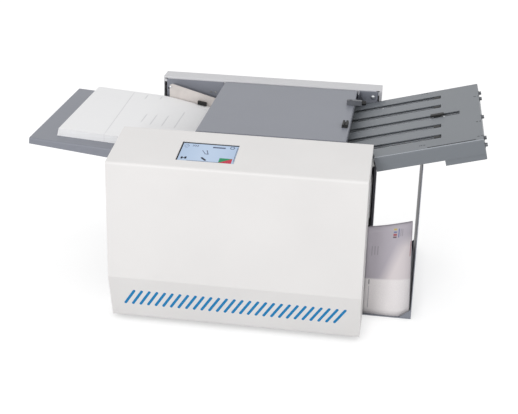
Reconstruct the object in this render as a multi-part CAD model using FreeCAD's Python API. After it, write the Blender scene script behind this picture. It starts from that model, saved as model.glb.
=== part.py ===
import FreeCAD, Part
import math
import os

# A desk paper folding machine. X runs with the paper from the feed tray to the catch tray,
# Y from the front cover to the rear cover, Z up. The origin is on the floor in the middle.
# All sizes are in millimetres and all angles in degrees.

Vector = FreeCAD.Vector
X_AXIS = Vector(1, 0, 0)
Y_AXIS = Vector(0, 1, 0)
Z_AXIS = Vector(0, 0, 1)

# Overall size
LENGTH = 880.0
DEPTH = 514.0
COVER_WIDTH = 480.0
BODY_X = -9.0
FRONT = -DEPTH / 2
REAR = DEPTH / 2
TRAY_LEFT = -LENGTH / 2
COVER_LEFT = BODY_X - COVER_WIDTH / 2
COVER_RIGHT = BODY_X + COVER_WIDTH / 2

# Side frames and the sheet path between them
PATH_Y = 40.0
FRAME_GAP = 340.0
FRAME_SHEET = 3.0
FRAME_FRONT_IN = PATH_Y - FRAME_GAP / 2
FRAME_REAR_IN = PATH_Y + FRAME_GAP / 2
FRAME_FRONT_OUT = FRAME_FRONT_IN - FRAME_SHEET
FRAME_REAR_OUT = FRAME_REAR_IN + FRAME_SHEET
FRAME_LEFT = COVER_LEFT + 8.0
FRAME_RIGHT = COVER_RIGHT - 8.0
FOOT_HEIGHT = 10.0
FRAME_BOTTOM = FOOT_HEIGHT + 2.0

# Painted covers
COVER_SHEET = 1.5
COVER_BOTTOM = 8.0
FRONT_COVER_BACK = -114.0
FRONT_COVER_TOP = 358.0
CREASE_Y = FRONT + 3.0
CREASE_Z = 336.0
LOWER_CREASE_Z = 104.0
LOWER_EDGE_Y = FRONT + 27.0
REAR_COVER_TOP = 360.0
REAR_COVER_FACE = REAR - 1.5
COVER_BEND = 5.0

# Touchscreen on the sloped top panel, distances up the slope from the front crease
SCREEN_LEFT = -124.0
SCREEN_WIDTH = 108.0
SCREEN_START = 27.0
SCREEN_LENGTH = 70.0

# Flat top cover
TOP_COVER_LEFT = -111.0
TOP_COVER_RIGHT = 179.0
TOP_COVER_TOP = 357.0
TOP_COVER_FRONT = FRONT_COVER_BACK + 2.0
TOP_COVER_BACK = FRAME_REAR_IN - 1.0
TOP_COVER_SHEET = 2.0
HINGE_Y = 203.0
HINGE_Z = 351.5
HINGE_PIN_RADIUS = 1.6
HINGE_KNUCKLE_RADIUS = 3.2
HINGE_PLACES = (-60.0, 142.0)

# Thumb latch and turning lever on the top cover, kept off it by a small gap
LID_GAP = 0.3
LATCH_X = 164.0
LATCH_Y = -36.0
LATCH_TRAVEL = 6.0
LEVER_PIVOT = (171.0, 110.0)
LEVER_HALF_WIDTH = 4.0
LEVER_REACH = 194.0
LEVER_TOP = TOP_COVER_TOP + 10.5
LEVER_SHANK = 2.5

# Feed tray
TRAY_SLOPE = 3.8
TRAY_TOP_LEFT_Z = 322.0
TRAY_FRONT = -126.0
TRAY_BACK = 202.0
TRAY_RIGHT = -98.0
TRAY_SHEET = 1.5
TRAY_LIP = 11.0
TRAY_LIP_AT_COVER = 20.0

# Loaded sheets
PAPER_WIDTH = 279.0
PAPER_FRONT = -94.5
PAPER_LEFT = -389.0
PAPER_LEAD = -92.0
PAPER_STACK_HEIGHT = 16.0
PAPER_LEAD_HEIGHT = 1.5

# Side guides
GUIDE_LEFT = -230.0
GUIDE_RIGHT = -100.0
GUIDE_TOP = 352.0
GUIDE_TOP_SLOPE = 15.0
GUIDE_SHEET = 2.5
GUIDE_GAP = 2.5
GUIDE_ROD_X = -215.0
GUIDE_ROD_Z = 285.0
GUIDE_ROD_RADIUS = 4.0
RUNNING_GAP = 0.06

# Rollers: fold roller 2 is the one that the others are placed from
ROLLER_PITCH = 16.0
ROLLER_GAP = 0.15
ROLLER_SHAFT = 6.0
ROLLER_FRONT = PATH_Y - 160.0
ROLLER_REAR = PATH_Y + 160.0
ROLLER_2 = (41.4, 271.0)
ROLLER_1_ANGLE = 95.0
ROLLER_3_ANGLE = -20.0
ROLLER_4_ANGLE = -110.0
PRESS_NIP = (148.0, 212.0)
PRESS_ANGLE = -15.0
PRESS_PITCH = 22.0
PRESS_SHAFT = 8.0
FEED_ROLLER = (-85.0, 322.0)
FEED_TYRE_RADIUS = 20.0
FEED_TYRE_WIDTH = 24.0
FEED_TYRE_PITCH = 60.0
BEARING_WALL = 5.0

# Gears in one plane outside the front frame, belts in two planes beyond it
GEAR_MODULE = 2.0
GEAR_WIDTH = 8.0
GEAR_FRONT = FRAME_FRONT_OUT - 12.0
ROLLER_TEETH = 16
IDLER_TEETH = 27
PRESS_TEETH = 22
PRESSURE_ANGLE = 20.0
ADDENDUM = 0.9
DEDENDUM = 1.2
BACKLASH = 0.3
MOTOR = (-130.0, 110.0)
MOTOR_RADIUS = 38.0
MOTOR_PULLEY = 10.0
MAIN_PULLEY = 18.0
FEED_PULLEY = 12.0
BELT_WIDTH = 9.0
BELT_THICKNESS = 1.8
BELT_GAP = 0.3
MAIN_BELT_FRONT = -158.0
FEED_BELT_FRONT = -171.0

# Upper fold plate, in its own frame: u along the plate from where it leaves the body,
# w square to it from its top face
PLATE_X = 244.5
PLATE_Z = 342.0
PLATE_ANGLE = 14.83
PLATE_TONGUE = -190.0
PLATE_SHOULDER = -11.0
PLATE_END = 191.3
PLATE_FRONT = -138.0
PLATE_BACK = 210.0
TONGUE_FRONT = -126.0
TONGUE_BACK = 206.0
PLATE_SHEET = 1.5
PLATE_GAP = 3.0
PLATE_SKIRT = 29.0
END_BOX_START = 116.0
END_BOX_DEPTH = 41.0
SLOT_COUNT = 5
SLOT_PITCH = 60.5
SLOT_WIDTH = 20.0
SLOT_START = -150.0
SLOT_END = 114.3
MIDDLE_SLOT_END = 151.0
STOP_ROD_RADIUS = 3.0
STOP_ROD_W = -14.5
STOP_ROD_REACH = 60.0
STOP_START = 100.0
STOP_LENGTH = 12.0
FINGER_WIDTH = 12.0

# Lower fold plate: runs down and to the left from the nip of fold rollers 2 and 3
LOWER_PLATE_LENGTH = 236.0
LOWER_PLATE_SHIFT = 3.5
LOWER_PLATE_FRONT = PATH_Y - 150.0
LOWER_PLATE_BACK = PATH_Y + 150.0
LOWER_SHEET = 1.2
LOWER_STOP_AT = 150.0
LOWER_ROD_REACH = 40.0
LOWER_ROD_START = 52.0
LOWER_ROD_W = -10.5

# Catch tray and the folded sheets in it
CATCH_WALL = 326.0
CATCH_TOP = 318.0
CATCH_TONGUE = 150.0
CATCH_FRONT = -126.0
CATCH_BACK = 202.0
CATCH_SHEET = 1.5
CATCH_FLOOR = 0.0
GUSSET_X = 23.0
GUSSET_Z = 20.0
FOLDED_WIDTH = 91.0
FOLDED_HEIGHT = 200.0


def save(name, shape):
    shape.exportStep(os.path.join("parts", name + ".step"))


def group(shapes):
    return Part.makeCompound(list(shapes))


def fuse(shapes):
    whole = shapes[0]
    for shape in shapes[1:]:
        whole = whole.fuse(shape)
    return whole.removeSplitter()


def box(x, y, z):
    """A block from three (low, high) pairs."""
    return Part.makeBox(x[1] - x[0], y[1] - y[0], z[1] - z[0], Vector(x[0], y[0], z[0]))


def rod(centre, radius, y):
    """A cylinder along Y round (x, z), between the two values of y."""
    return Part.makeCylinder(radius, y[1] - y[0], Vector(centre[0], y[0], centre[1]), Y_AXIS)


def ring(centre, outer, inner, y):
    return rod(centre, outer, y).cut(rod(centre, inner, (y[0] - 1, y[1] + 1)))


def polar(centre, distance, angle):
    turn = math.radians(angle)
    return (centre[0] + distance * math.cos(turn), centre[1] + distance * math.sin(turn))


def distance(a, b):
    return math.hypot(b[0] - a[0], b[1] - a[1])


def outline(points, place):
    """A closed wire of straight edges through flat points, put in space by place."""
    corners = [place(*point) for point in points]
    return Part.makePolygon(corners + corners[:1])


def prism_y(points, y):
    """An outline of (x, z) points carried along Y."""
    face = Part.Face(outline(points, lambda a, b: Vector(a, y[0], b)))
    return face.extrude(Vector(0, y[1] - y[0], 0))


def prism_x(points, x):
    """An outline of (y, z) points carried along X."""
    face = Part.Face(outline(points, lambda a, b: Vector(x[0], a, b)))
    return face.extrude(Vector(x[1] - x[0], 0, 0))


def prism_z(points, z):
    """An outline of (x, y) points carried along Z."""
    face = Part.Face(outline(points, lambda a, b: Vector(a, b, z[0])))
    return face.extrude(Vector(0, 0, z[1] - z[0]))


def round_edges(shape, radius, wanted):
    """Rounds the edges that the wanted test picks by their middle point and direction."""
    edges = []
    for edge in shape.Edges:
        if edge.Curve.TypeId != "Part::GeomLine":
            continue
        middle = edge.valueAt((edge.FirstParameter + edge.LastParameter) / 2)
        along = edge.tangentAt(edge.FirstParameter)
        if wanted(middle, along):
            edges.append(edge)
    return shape.makeFillet(radius, edges)


def bent_outline(points, thickness, bend, place):
    """The edge wire of a bent sheet. The points trace one face, with the metal on the left
    of the way they run, and bend is the inside radius of every bend."""
    directions = []
    for a, b in zip(points, points[1:]):
        length = distance(a, b)
        directions.append(((b[0] - a[0]) / length, (b[1] - a[1]) / length))

    def shifted(point, direction, offset):
        return (point[0] - direction[1] * offset, point[1] + direction[0] * offset)

    def face_edges(offset):
        edges = []
        start = shifted(points[0], directions[0], offset)
        for index in range(1, len(points) - 1):
            before = directions[index - 1]
            after = directions[index]
            cross = before[0] * after[1] - before[1] * after[0]
            turn = math.atan2(cross, before[0] * after[0] + before[1] * after[1])
            side = math.copysign(1.0, turn)
            radius = bend + (thickness if side > 0 else 0.0)
            reach = radius * math.tan(abs(turn) / 2)
            corner = points[index]
            first = (corner[0] - before[0] * reach, corner[1] - before[1] * reach)
            last = (corner[0] + after[0] * reach, corner[1] + after[1] * reach)
            centre = shifted(first, before, side * radius)
            arc_start = shifted(first, before, offset)
            arc_end = shifted(last, after, offset)
            half = math.atan2(before[1], before[0]) + turn / 2
            outward = radius - side * offset
            middle = (
                centre[0] + side * math.sin(half) * outward,
                centre[1] - side * math.cos(half) * outward,
            )
            edges.append(("line", start, arc_start))
            edges.append(("arc", arc_start, middle, arc_end))
            start = arc_end
        edges.append(("line", start, shifted(points[-1], directions[-1], offset)))
        return edges

    near = face_edges(0.0)
    far = face_edges(thickness)
    loop = near + [("line", near[-1][-1], far[-1][-1])]
    loop += [(edge[0],) + tuple(reversed(edge[1:])) for edge in reversed(far)]
    loop.append(("line", far[0][1], near[0][1]))
    shapes = []
    for edge in loop:
        ends = [place(*point) for point in edge[1:]]
        if edge[0] == "line":
            shapes.append(Part.LineSegment(*ends).toShape())
        else:
            shapes.append(Part.Arc(*ends).toShape())
    return Part.Wire(shapes)


def bent_sheet_x(points, thickness, bend, x):
    """A sheet bent in (y, z), carried along X."""
    wire = bent_outline(points, thickness, bend, lambda a, b: Vector(x[0], a, b))
    return Part.Face(wire).extrude(Vector(x[1] - x[0], 0, 0))


def bent_sheet_y(points, thickness, bend, y):
    """A sheet bent in (x, z), carried along Y."""
    wire = bent_outline(points, thickness, bend, lambda a, b: Vector(a, y[0], b))
    return Part.Face(wire).extrude(Vector(0, y[1] - y[0], 0))


def bent_sheet_z(points, thickness, bend, z):
    """A sheet bent in (x, y), carried along Z."""
    wire = bent_outline(points, thickness, bend, lambda a, b: Vector(a, b, z[0]))
    return Part.Face(wire).extrude(Vector(0, 0, z[1] - z[0]))


def slot(x, y, z):
    """A cutter with round ends in X for a long hole through Z."""
    radius = (y[1] - y[0]) / 2
    middle = (y[0] + y[1]) / 2
    height = z[1] - z[0]
    body = box((x[0] + radius, x[1] - radius), y, z)
    left = Part.makeCylinder(radius, height, Vector(x[0] + radius, middle, z[0]))
    right = Part.makeCylinder(radius, height, Vector(x[1] - radius, middle, z[0]))
    return body.fuse(left).fuse(right).removeSplitter()


def tray_top(x):
    """Height of the feed tray's top face."""
    return TRAY_TOP_LEFT_Z - math.tan(math.radians(TRAY_SLOPE)) * (x - TRAY_LEFT)


def on_plate(shape):
    """Puts a shape made in the upper fold plate's own frame in its place."""
    placed = shape.copy()
    placed.rotate(Vector(0, 0, 0), Y_AXIS, -PLATE_ANGLE)
    placed.translate(Vector(PLATE_X, 0, PLATE_Z))
    return placed


def on_top_panel(shape):
    """Puts a shape made flat, with Y up the slope from the crease, on the top panel."""
    slope = math.degrees(math.atan2(FRONT_COVER_TOP - CREASE_Z, FRONT_COVER_BACK - CREASE_Y))
    placed = shape.copy()
    placed.rotate(Vector(0, 0, 0), X_AXIS, slope)
    placed.translate(Vector(0, CREASE_Y, CREASE_Z))
    return placed


# Places that follow from the driving sizes

ROLLER_1 = polar(ROLLER_2, 2 * ROLLER_PITCH, ROLLER_1_ANGLE)
ROLLER_3 = polar(ROLLER_2, 2 * ROLLER_PITCH, ROLLER_3_ANGLE)
ROLLER_4 = polar(ROLLER_3, 2 * ROLLER_PITCH, ROLLER_4_ANGLE)
PRESS_LOWER = polar(PRESS_NIP, PRESS_PITCH, PRESS_ANGLE - 90)
PRESS_UPPER = polar(PRESS_NIP, PRESS_PITCH, PRESS_ANGLE + 90)
NIP_2 = ((ROLLER_2[0] + ROLLER_3[0]) / 2, (ROLLER_2[1] + ROLLER_3[1]) / 2)
NIP_3 = ((ROLLER_3[0] + ROLLER_4[0]) / 2, (ROLLER_3[1] + ROLLER_4[1]) / 2)
ROLLER_GEAR_PITCH = GEAR_MODULE * ROLLER_TEETH / 2
IDLER_PITCH = GEAR_MODULE * IDLER_TEETH / 2
PRESS_GEAR_PITCH = GEAR_MODULE * PRESS_TEETH / 2


def idler_centre():
    """Where the idler meets both fold roller 4's gear and the lower press roller's gear."""
    to_roller = ROLLER_GEAR_PITCH + IDLER_PITCH
    to_press = PRESS_GEAR_PITCH + IDLER_PITCH
    span = distance(ROLLER_4, PRESS_LOWER)
    along = (to_roller**2 - to_press**2 + span**2) / (2 * span)
    drop = math.degrees(math.acos(along / to_roller))
    line = math.degrees(math.atan2(PRESS_LOWER[1] - ROLLER_4[1], PRESS_LOWER[0] - ROLLER_4[0]))
    return polar(ROLLER_4, to_roller, line - drop)


IDLER = idler_centre()
IDLER_STUD = 5.0


# Casing

def front_cover():
    points = [
        (FRONT_COVER_BACK, FRONT_COVER_TOP - 18),
        (FRONT_COVER_BACK, FRONT_COVER_TOP),
        (CREASE_Y, CREASE_Z),
        (FRONT, LOWER_CREASE_Z),
        (LOWER_EDGE_Y, COVER_BOTTOM),
        (LOWER_EDGE_Y + 18, COVER_BOTTOM),
    ]
    shell = bent_sheet_x(points, COVER_SHEET, COVER_BEND - COVER_SHEET, (COVER_LEFT, COVER_RIGHT))
    inset = 0.4
    wall_back = FRAME_FRONT_OUT - 1.0
    wall = [
        (FRONT_COVER_BACK - 1, FRONT_COVER_TOP - 18),
        (FRONT_COVER_BACK - 1, FRONT_COVER_TOP - 3),
        (FRONT_COVER_BACK - 4, FRONT_COVER_TOP - 1),
        (CREASE_Y + inset, CREASE_Z - inset),
        (FRONT + inset, LOWER_CREASE_Z),
        (LOWER_EDGE_Y + inset, COVER_BOTTOM + inset),
        (wall_back, COVER_BOTTOM + inset),
        (wall_back, FRONT_COVER_TOP - 18),
    ]
    left = prism_x(wall, (COVER_LEFT, COVER_LEFT + COVER_SHEET))
    right = prism_x(wall, (COVER_RIGHT - COVER_SHEET, COVER_RIGHT))
    window = box(
        (SCREEN_LEFT, SCREEN_LEFT + SCREEN_WIDTH),
        (SCREEN_START, SCREEN_START + SCREEN_LENGTH),
        (-10, 10),
    )
    return fuse([shell, left, right]).cut(on_top_panel(window))


def rear_cover():
    lip = FRAME_REAR_OUT + 0.5
    points = [
        (REAR_COVER_FACE - 18, COVER_BOTTOM),
        (REAR_COVER_FACE, COVER_BOTTOM),
        (REAR_COVER_FACE, REAR_COVER_TOP),
        (lip, REAR_COVER_TOP),
        (lip, REAR_COVER_TOP - 12),
    ]
    shell = bent_sheet_x(points, COVER_SHEET, 2.0, (COVER_LEFT, COVER_RIGHT))
    wall = [
        (lip + 0.3, COVER_BOTTOM + 0.3),
        (REAR_COVER_FACE - 2, COVER_BOTTOM + 0.3),
        (REAR_COVER_FACE - 0.3, COVER_BOTTOM + 2),
        (REAR_COVER_FACE - 0.3, REAR_COVER_TOP - 2),
        (REAR_COVER_FACE - 2, REAR_COVER_TOP - 0.3),
        (lip + 2, REAR_COVER_TOP - 0.3),
        (lip + 0.3, REAR_COVER_TOP - 2),
    ]
    left = prism_x(wall, (COVER_LEFT, COVER_LEFT + COVER_SHEET))
    right = prism_x(wall, (COVER_RIGHT - COVER_SHEET, COVER_RIGHT))
    cover = fuse([shell, left, right])
    cover = cover.cut(inlet_body(0.3))
    vents = []
    for column in range(12):
        x = -180 + 12.0 * column
        vents.append(box((x, x + 4), (REAR_COVER_FACE - 5, REAR_COVER_FACE + 5), (60, 100)))
    return cover.cut(group(vents))


def base_pan():
    """A bent pan with the two rails that hold the catch tray's tongue welded under it."""
    front = LOWER_EDGE_Y + 4
    back = REAR_COVER_FACE - 6
    rim = FRAME_BOTTOM + 18
    points = [(front, rim), (front, FOOT_HEIGHT), (back, FOOT_HEIGHT), (back, rim)]
    sheet = FRAME_BOTTOM - FOOT_HEIGHT
    pan = bent_sheet_x(points, sheet, 1.0, (FRAME_LEFT, FRAME_RIGHT))
    for column in range(9):
        x = -190 + 16.0 * column
        pan = pan.cut(slot((x, x + 6), (20, 24), (FOOT_HEIGHT - 1, FRAME_BOTTOM + 1)))
    gap = 1.0
    for edge, side in ((CATCH_FRONT, -1), (CATCH_BACK, 1)):
        wall = sorted((edge + side * gap, edge + side * (gap + 2)))
        hook = sorted((edge - side * 6, edge + side * (gap + 2)))
        rail_x = (CATCH_TONGUE + 20, FRAME_RIGHT)
        pan = pan.fuse(box(rail_x, wall, (CATCH_FLOOR + 0.5, FOOT_HEIGHT)))
        top = CATCH_FLOOR + CATCH_SHEET + 0.5
        pan = pan.fuse(box(rail_x, hook, (top, top + 1.5)))
    return pan.removeSplitter()


def rubber_feet():
    feet = []
    for x in (-215.0, 197.0):
        for y in (-190.0, 222.0):
            foot = Part.makeCone(11, 13, FOOT_HEIGHT, Vector(x, y, 0))
            dimple = Part.makeCylinder(4, 4, Vector(x, y, -1))
            feet.append(foot.cut(dimple))
    return group(feet)


def roller_holes(y):
    """The bearing seats that both side frames have."""
    holes = []
    for centre, shaft in shaft_list():
        holes.append(rod(centre, shaft + BEARING_WALL, y))
    return group(holes)


def shaft_list():
    small = [ROLLER_1, ROLLER_2, ROLLER_3, ROLLER_4, FEED_ROLLER]
    large = [PRESS_LOWER, PRESS_UPPER]
    return [(centre, ROLLER_SHAFT) for centre in small] + [
        (centre, PRESS_SHAFT) for centre in large
    ]


def frame_windows(y):
    """Large cut-outs that lighten the frames, with room round the lower fold plate."""
    left = [(-200, 190), (-122, 190), (-122, 265), (-200, 265)]
    right = [(110, 60), (190, 60), (190, 140), (110, 140)]
    cutters = []
    for points in (left, right):
        cutters.append(round_edges(prism_y(points, y), 10, lambda m, a: abs(a.y) > 0.9))
    return group(cutters)


def front_frame():
    """The front side frame with the idler's stud pressed into it."""
    y = (FRAME_FRONT_OUT, FRAME_FRONT_IN)
    through = (y[0] - 1, y[1] + 1)
    plate = box((FRAME_LEFT, FRAME_RIGHT), y, (FRAME_BOTTOM, 343))
    plate = plate.cut(roller_holes(through)).cut(frame_windows(through))
    plate = plate.cut(rod(MOTOR, 12, through))
    stud = rod(IDLER, IDLER_STUD, (GEAR_FRONT - 2, y[0]))
    collar = rod(IDLER, IDLER_STUD + 3, (GEAR_FRONT + GEAR_WIDTH + 0.3, y[0]))
    clip = rod(IDLER, IDLER_STUD + 2.5, (GEAR_FRONT - 2, GEAR_FRONT - 0.3))
    return fuse([plate, stud, collar, clip])


def rear_frame():
    y = (FRAME_REAR_IN, FRAME_REAR_OUT)
    through = (y[0] - 1, y[1] + 1)
    points = [
        (FRAME_LEFT, FRAME_BOTTOM),
        (FRAME_RIGHT, FRAME_BOTTOM),
        (FRAME_RIGHT, 357),
        (TOP_COVER_RIGHT + 3, 357),
        (TOP_COVER_RIGHT + 3, 343),
        (TOP_COVER_LEFT - 3, 343),
        (TOP_COVER_LEFT - 3, 355),
        (FRAME_LEFT, 355),
    ]
    plate = prism_y(points, y)
    plate = plate.cut(roller_holes(through)).cut(frame_windows(through))
    return plate.cut(rod((FRAME_LEFT + 4, 334), 2.0, through))


def tie_bar_places():
    return [(-219, 30), (-219, 250), (200, 30), (202, 270), (170, 334), (-110, 334)]


def tie_bars():
    """Round bars between the frames. The last one carries the side guides."""
    span = (FRAME_FRONT_IN, FRAME_REAR_IN)
    bars = []
    for place in tie_bar_places():
        bars.append(rod(place, 5, span))
    bars.append(rod((GUIDE_ROD_X, GUIDE_ROD_Z), GUIDE_ROD_RADIUS, span))
    return group(bars)


def end_panel(outer, inward, top):
    """A panel between the frames with a flange against each of them."""
    sheet = 1.5
    reach = outer + inward * 14
    points = [
        (reach, FRAME_FRONT_IN),
        (outer, FRAME_FRONT_IN),
        (outer, FRAME_REAR_IN),
        (reach, FRAME_REAR_IN),
    ]
    if inward > 0:
        points.reverse()
    return bent_sheet_z(points, sheet, 1.5, (FRAME_BOTTOM, top))


def left_end_panel():
    panel = end_panel(FRAME_LEFT, 1, 284)
    for row in range(5):
        z = 60 + 12.0 * row
        panel = panel.cut(box((FRAME_LEFT - 1, FRAME_LEFT + 3), (-20, 100), (z, z + 4)))
    return panel


def right_end_panel():
    panel = end_panel(FRAME_RIGHT, -1, 300)
    outlet = box(
        (FRAME_RIGHT - 3, FRAME_RIGHT + 1),
        (FRAME_FRONT_IN + 12, FRAME_REAR_IN - 12),
        (172, 210),
    )
    return panel.cut(outlet)


def screen_bezel():
    rim = 5.0
    outer = box(
        (SCREEN_LEFT - rim, SCREEN_LEFT + SCREEN_WIDTH + rim),
        (SCREEN_START - rim, SCREEN_START + SCREEN_LENGTH + rim),
        (-5.0, -COVER_SHEET),
    )
    lip = 0.8
    inner = box(
        (SCREEN_LEFT + lip, SCREEN_LEFT + SCREEN_WIDTH - lip),
        (SCREEN_START + lip, SCREEN_START + SCREEN_LENGTH - lip),
        (-8, 2),
    )
    return on_top_panel(outer.cut(inner))


def screen_glass():
    edge = 0.85
    return on_top_panel(
        box(
            (SCREEN_LEFT + edge, SCREEN_LEFT + SCREEN_WIDTH - edge),
            (SCREEN_START + edge, SCREEN_START + SCREEN_LENGTH - edge),
            (-5.0, -2.2),
        )
    )


def control_board():
    """Boards with their larger parts: one behind the screen, one on the front frame."""
    screen = box(
        (SCREEN_LEFT - 2, SCREEN_LEFT + SCREEN_WIDTH + 2),
        (SCREEN_START - 2, SCREEN_START + SCREEN_LENGTH + 2),
        (-6.8, -5.2),
    )
    chip = box((-90, -60), (50, 74), (-9.5, -6.8))
    screen = on_top_panel(screen.fuse(chip))
    face = FRAME_FRONT_OUT - 12.0
    main = box((-235, -120), (face - 1.6, face), (185, 325))
    for x, z, width, height, rise in (
        (-225, 300, 40, 16, 12),
        (-170, 300, 36, 16, 12),
        (-215, 250, 26, 26, 4),
        (-175, 240, 30, 36, 8),
        (-222, 200, 60, 12, 10),
    ):
        main = main.fuse(box((x, x + width), (face - 1.6 - rise, face - 1.6), (z, z + height)))
    for x in (-230, -125):
        for z in (190, 320):
            main = main.fuse(rod((x, z), 3, (face, FRAME_FRONT_OUT)))
    return group([screen, main])


def power_supply():
    body = box((-232, -132), (-212, -146), (FRAME_BOTTOM, 58))
    for column in range(8):
        x = -225 + 11.0 * column
        body = body.cut(slot((x, x + 6), (-200, -196), (50, 60)))
        body = body.cut(slot((x, x + 6), (-170, -166), (50, 60)))
    return body


def drive_motor():
    """Gear motor on the inside of the front frame, with a bore for its own shaft."""
    flange = box(
        (MOTOR[0] - 42, MOTOR[0] + 42),
        (FRAME_FRONT_IN, FRAME_FRONT_IN + 5),
        (MOTOR[1] - 42, MOTOR[1] + 42),
    )
    flange = round_edges(flange, 8, lambda m, a: abs(a.y) > 0.9)
    gearbox = rod(MOTOR, MOTOR_RADIUS, (FRAME_FRONT_IN + 5, FRAME_FRONT_IN + 35))
    winding = rod(MOTOR, MOTOR_RADIUS - 4, (FRAME_FRONT_IN + 35, FRAME_FRONT_IN + 110))
    bore = rod(MOTOR, 5 + RUNNING_GAP, (FRAME_FRONT_IN - 5, FRAME_FRONT_IN + 30))
    return fuse([flange, gearbox, winding]).cut(bore)


# Power inlet and rocker switch, one moulded unit on the rear cover

INLET_X = 150.0
INLET_Z = 46.0
INLET_DEPTH = 22.0
ROCKER_X = INLET_X - 30.0
ROCKER_WIDTH = 11.0
ROCKER_HEIGHT = 18.0
ROCKER_TILT = 7.0
ROCKER_PIN_Y = REAR - 5.0


def inlet_body(grow):
    return box(
        (INLET_X - 42 - grow, INLET_X + 16 + grow),
        (REAR_COVER_FACE - INLET_DEPTH, REAR_COVER_FACE + 0.1),
        (INLET_Z - 12 - grow, INLET_Z + 12 + grow),
    )


def power_inlet():
    flange = box((INLET_X - 46, INLET_X + 20), (REAR_COVER_FACE, REAR), (INLET_Z - 15, INLET_Z + 15))
    flange = round_edges(flange, 3, lambda m, a: abs(a.y) > 0.9)
    body = flange.fuse(inlet_body(0))
    socket = box((INLET_X - 12, INLET_X + 12), (REAR - 18, REAR + 1), (INLET_Z - 8, INLET_Z + 8))
    socket = round_edges(socket, 3, lambda m, a: abs(a.y) > 0.9 and m.z > INLET_Z)
    rocker_well = box(
        (ROCKER_X - ROCKER_WIDTH / 2 - 0.6, ROCKER_X + ROCKER_WIDTH / 2 + 0.6),
        (REAR - 12, REAR + 1),
        (INLET_Z - ROCKER_HEIGHT / 2 - 1.2, INLET_Z + ROCKER_HEIGHT / 2 + 1.2),
    )
    body = body.cut(socket).cut(rocker_well).cut(rocker_pin(RUNNING_GAP))
    pins = []
    for x, z in ((-6.5, -1.5), (6.5, -1.5), (0, 3.0)):
        pins.append(
            box(
                (INLET_X + x - 1, INLET_X + x + 1),
                (REAR - 18, REAR - 6),
                (INLET_Z + z - 2, INLET_Z + z + 2),
            )
        )
    return fuse([body] + pins)


def power_rocker():
    """A rocker whose two faces meet at a blunt ridge, lying pressed at its top end."""
    half = ROCKER_HEIGHT / 2
    points = [(-6, -half + 2), (-0.5, -half), (-2.2, 0), (-0.5, half), (-6, half - 2), (-7.5, 0)]
    rocker = prism_x(
        [(REAR + y, z) for y, z in points],
        (ROCKER_X - ROCKER_WIDTH / 2, ROCKER_X + ROCKER_WIDTH / 2),
    )
    rocker.translate(Vector(0, -1.0, INLET_Z))
    rocker.rotate(Vector(0, ROCKER_PIN_Y, INLET_Z), X_AXIS, ROCKER_TILT)
    return rocker.fuse(rocker_pin(0.0)).removeSplitter()


def rocker_pin(gap):
    half = ROCKER_WIDTH / 2 + 2.5
    start = Vector(ROCKER_X - half, ROCKER_PIN_Y, INLET_Z)
    return Part.makeCylinder(1.2 + gap, 2 * half, start, X_AXIS)


# Feed side

def feed_tray():
    """A folded pan whose lips get deeper towards the machine, cut for the guides' stems."""
    slope = math.radians(TRAY_SLOPE)
    length = (TRAY_RIGHT - TRAY_LEFT) / math.cos(slope)
    depth = TRAY_LIP_AT_COVER + 4
    points = [
        (TRAY_BACK, -depth),
        (TRAY_BACK, 0),
        (TRAY_FRONT, 0),
        (TRAY_FRONT, -depth),
    ]
    pan = bent_sheet_x(points, TRAY_SHEET, 1.5, (0, length))
    end = box(
        (0, TRAY_SHEET),
        (TRAY_FRONT + 1.0, TRAY_BACK - 1.0),
        (-depth, -1.0),
    )
    pan = pan.fuse(end).removeSplitter()
    pan.rotate(Vector(0, 0, 0), Y_AXIS, TRAY_SLOPE)
    lean = TRAY_LIP * math.sin(slope)
    pan.translate(Vector(TRAY_LEFT + lean, 0, tray_top(TRAY_LEFT + lean)))
    low = 100.0
    under = [
        (TRAY_LEFT - 20, tray_top(TRAY_LEFT) - TRAY_LIP + 1),
        (COVER_LEFT - 1, tray_top(COVER_LEFT) - TRAY_LIP_AT_COVER),
        (COVER_LEFT - 1, tray_top(COVER_LEFT) - TRAY_SHEET - 0.1),
        (TRAY_RIGHT + 20, tray_top(TRAY_RIGHT + 20) - TRAY_SHEET - 0.1),
        (TRAY_RIGHT + 20, low),
        (TRAY_LEFT - 20, low),
    ]
    pan = pan.cut(prism_y(under, (TRAY_FRONT - 5, TRAY_BACK + 5)))
    stem = (GUIDE_ROD_X - 8, GUIDE_ROD_X + 8)
    height = (tray_top(GUIDE_ROD_X) - 10, tray_top(GUIDE_ROD_X) + 10)
    pan = pan.cut(box(stem, (guide_face_rear() - 3, TRAY_BACK + 1), height))
    return pan.cut(box(stem, (TRAY_FRONT - 1, guide_face_front() + 3), height))


def guide_face_rear():
    return PAPER_FRONT + PAPER_WIDTH + GUIDE_GAP


def guide_face_front():
    return PAPER_FRONT - GUIDE_GAP


def support_rails():
    """Angle rails on the frames: two under the tray's inner end, two under the fold plate."""
    rails = []
    for frame, side in ((FRAME_FRONT_IN, 1), (FRAME_REAR_IN, -1)):
        leg = sorted((frame, frame + side * 1.5))
        shelf = sorted((frame, frame + side * 14))
        left = GUIDE_ROD_X + 10
        right = TRAY_RIGHT - 2
        under = TRAY_SHEET + 0.3
        upper = [(x, tray_top(x) - under) for x in (left, right)]
        lower = [(x, tray_top(x) - under - 1.5) for x in (right, left)]
        flange = [(x, tray_top(x) - under - 14) for x in (right, left)]
        rails.append(prism_y(upper + lower, shelf).fuse(prism_y(upper + flange, leg)))
        top = -PLATE_SHEET * 2 - PLATE_GAP - 0.3
        shelf_plate = box((SLOT_START, PLATE_SHOULDER - 4), shelf, (top - 1.5, top))
        leg_plate = box((SLOT_START, PLATE_SHOULDER - 4), leg, (top - 14, top))
        rails.append(on_plate(shelf_plate.fuse(leg_plate)))
    return group(rail.removeSplitter() for rail in rails)


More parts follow.
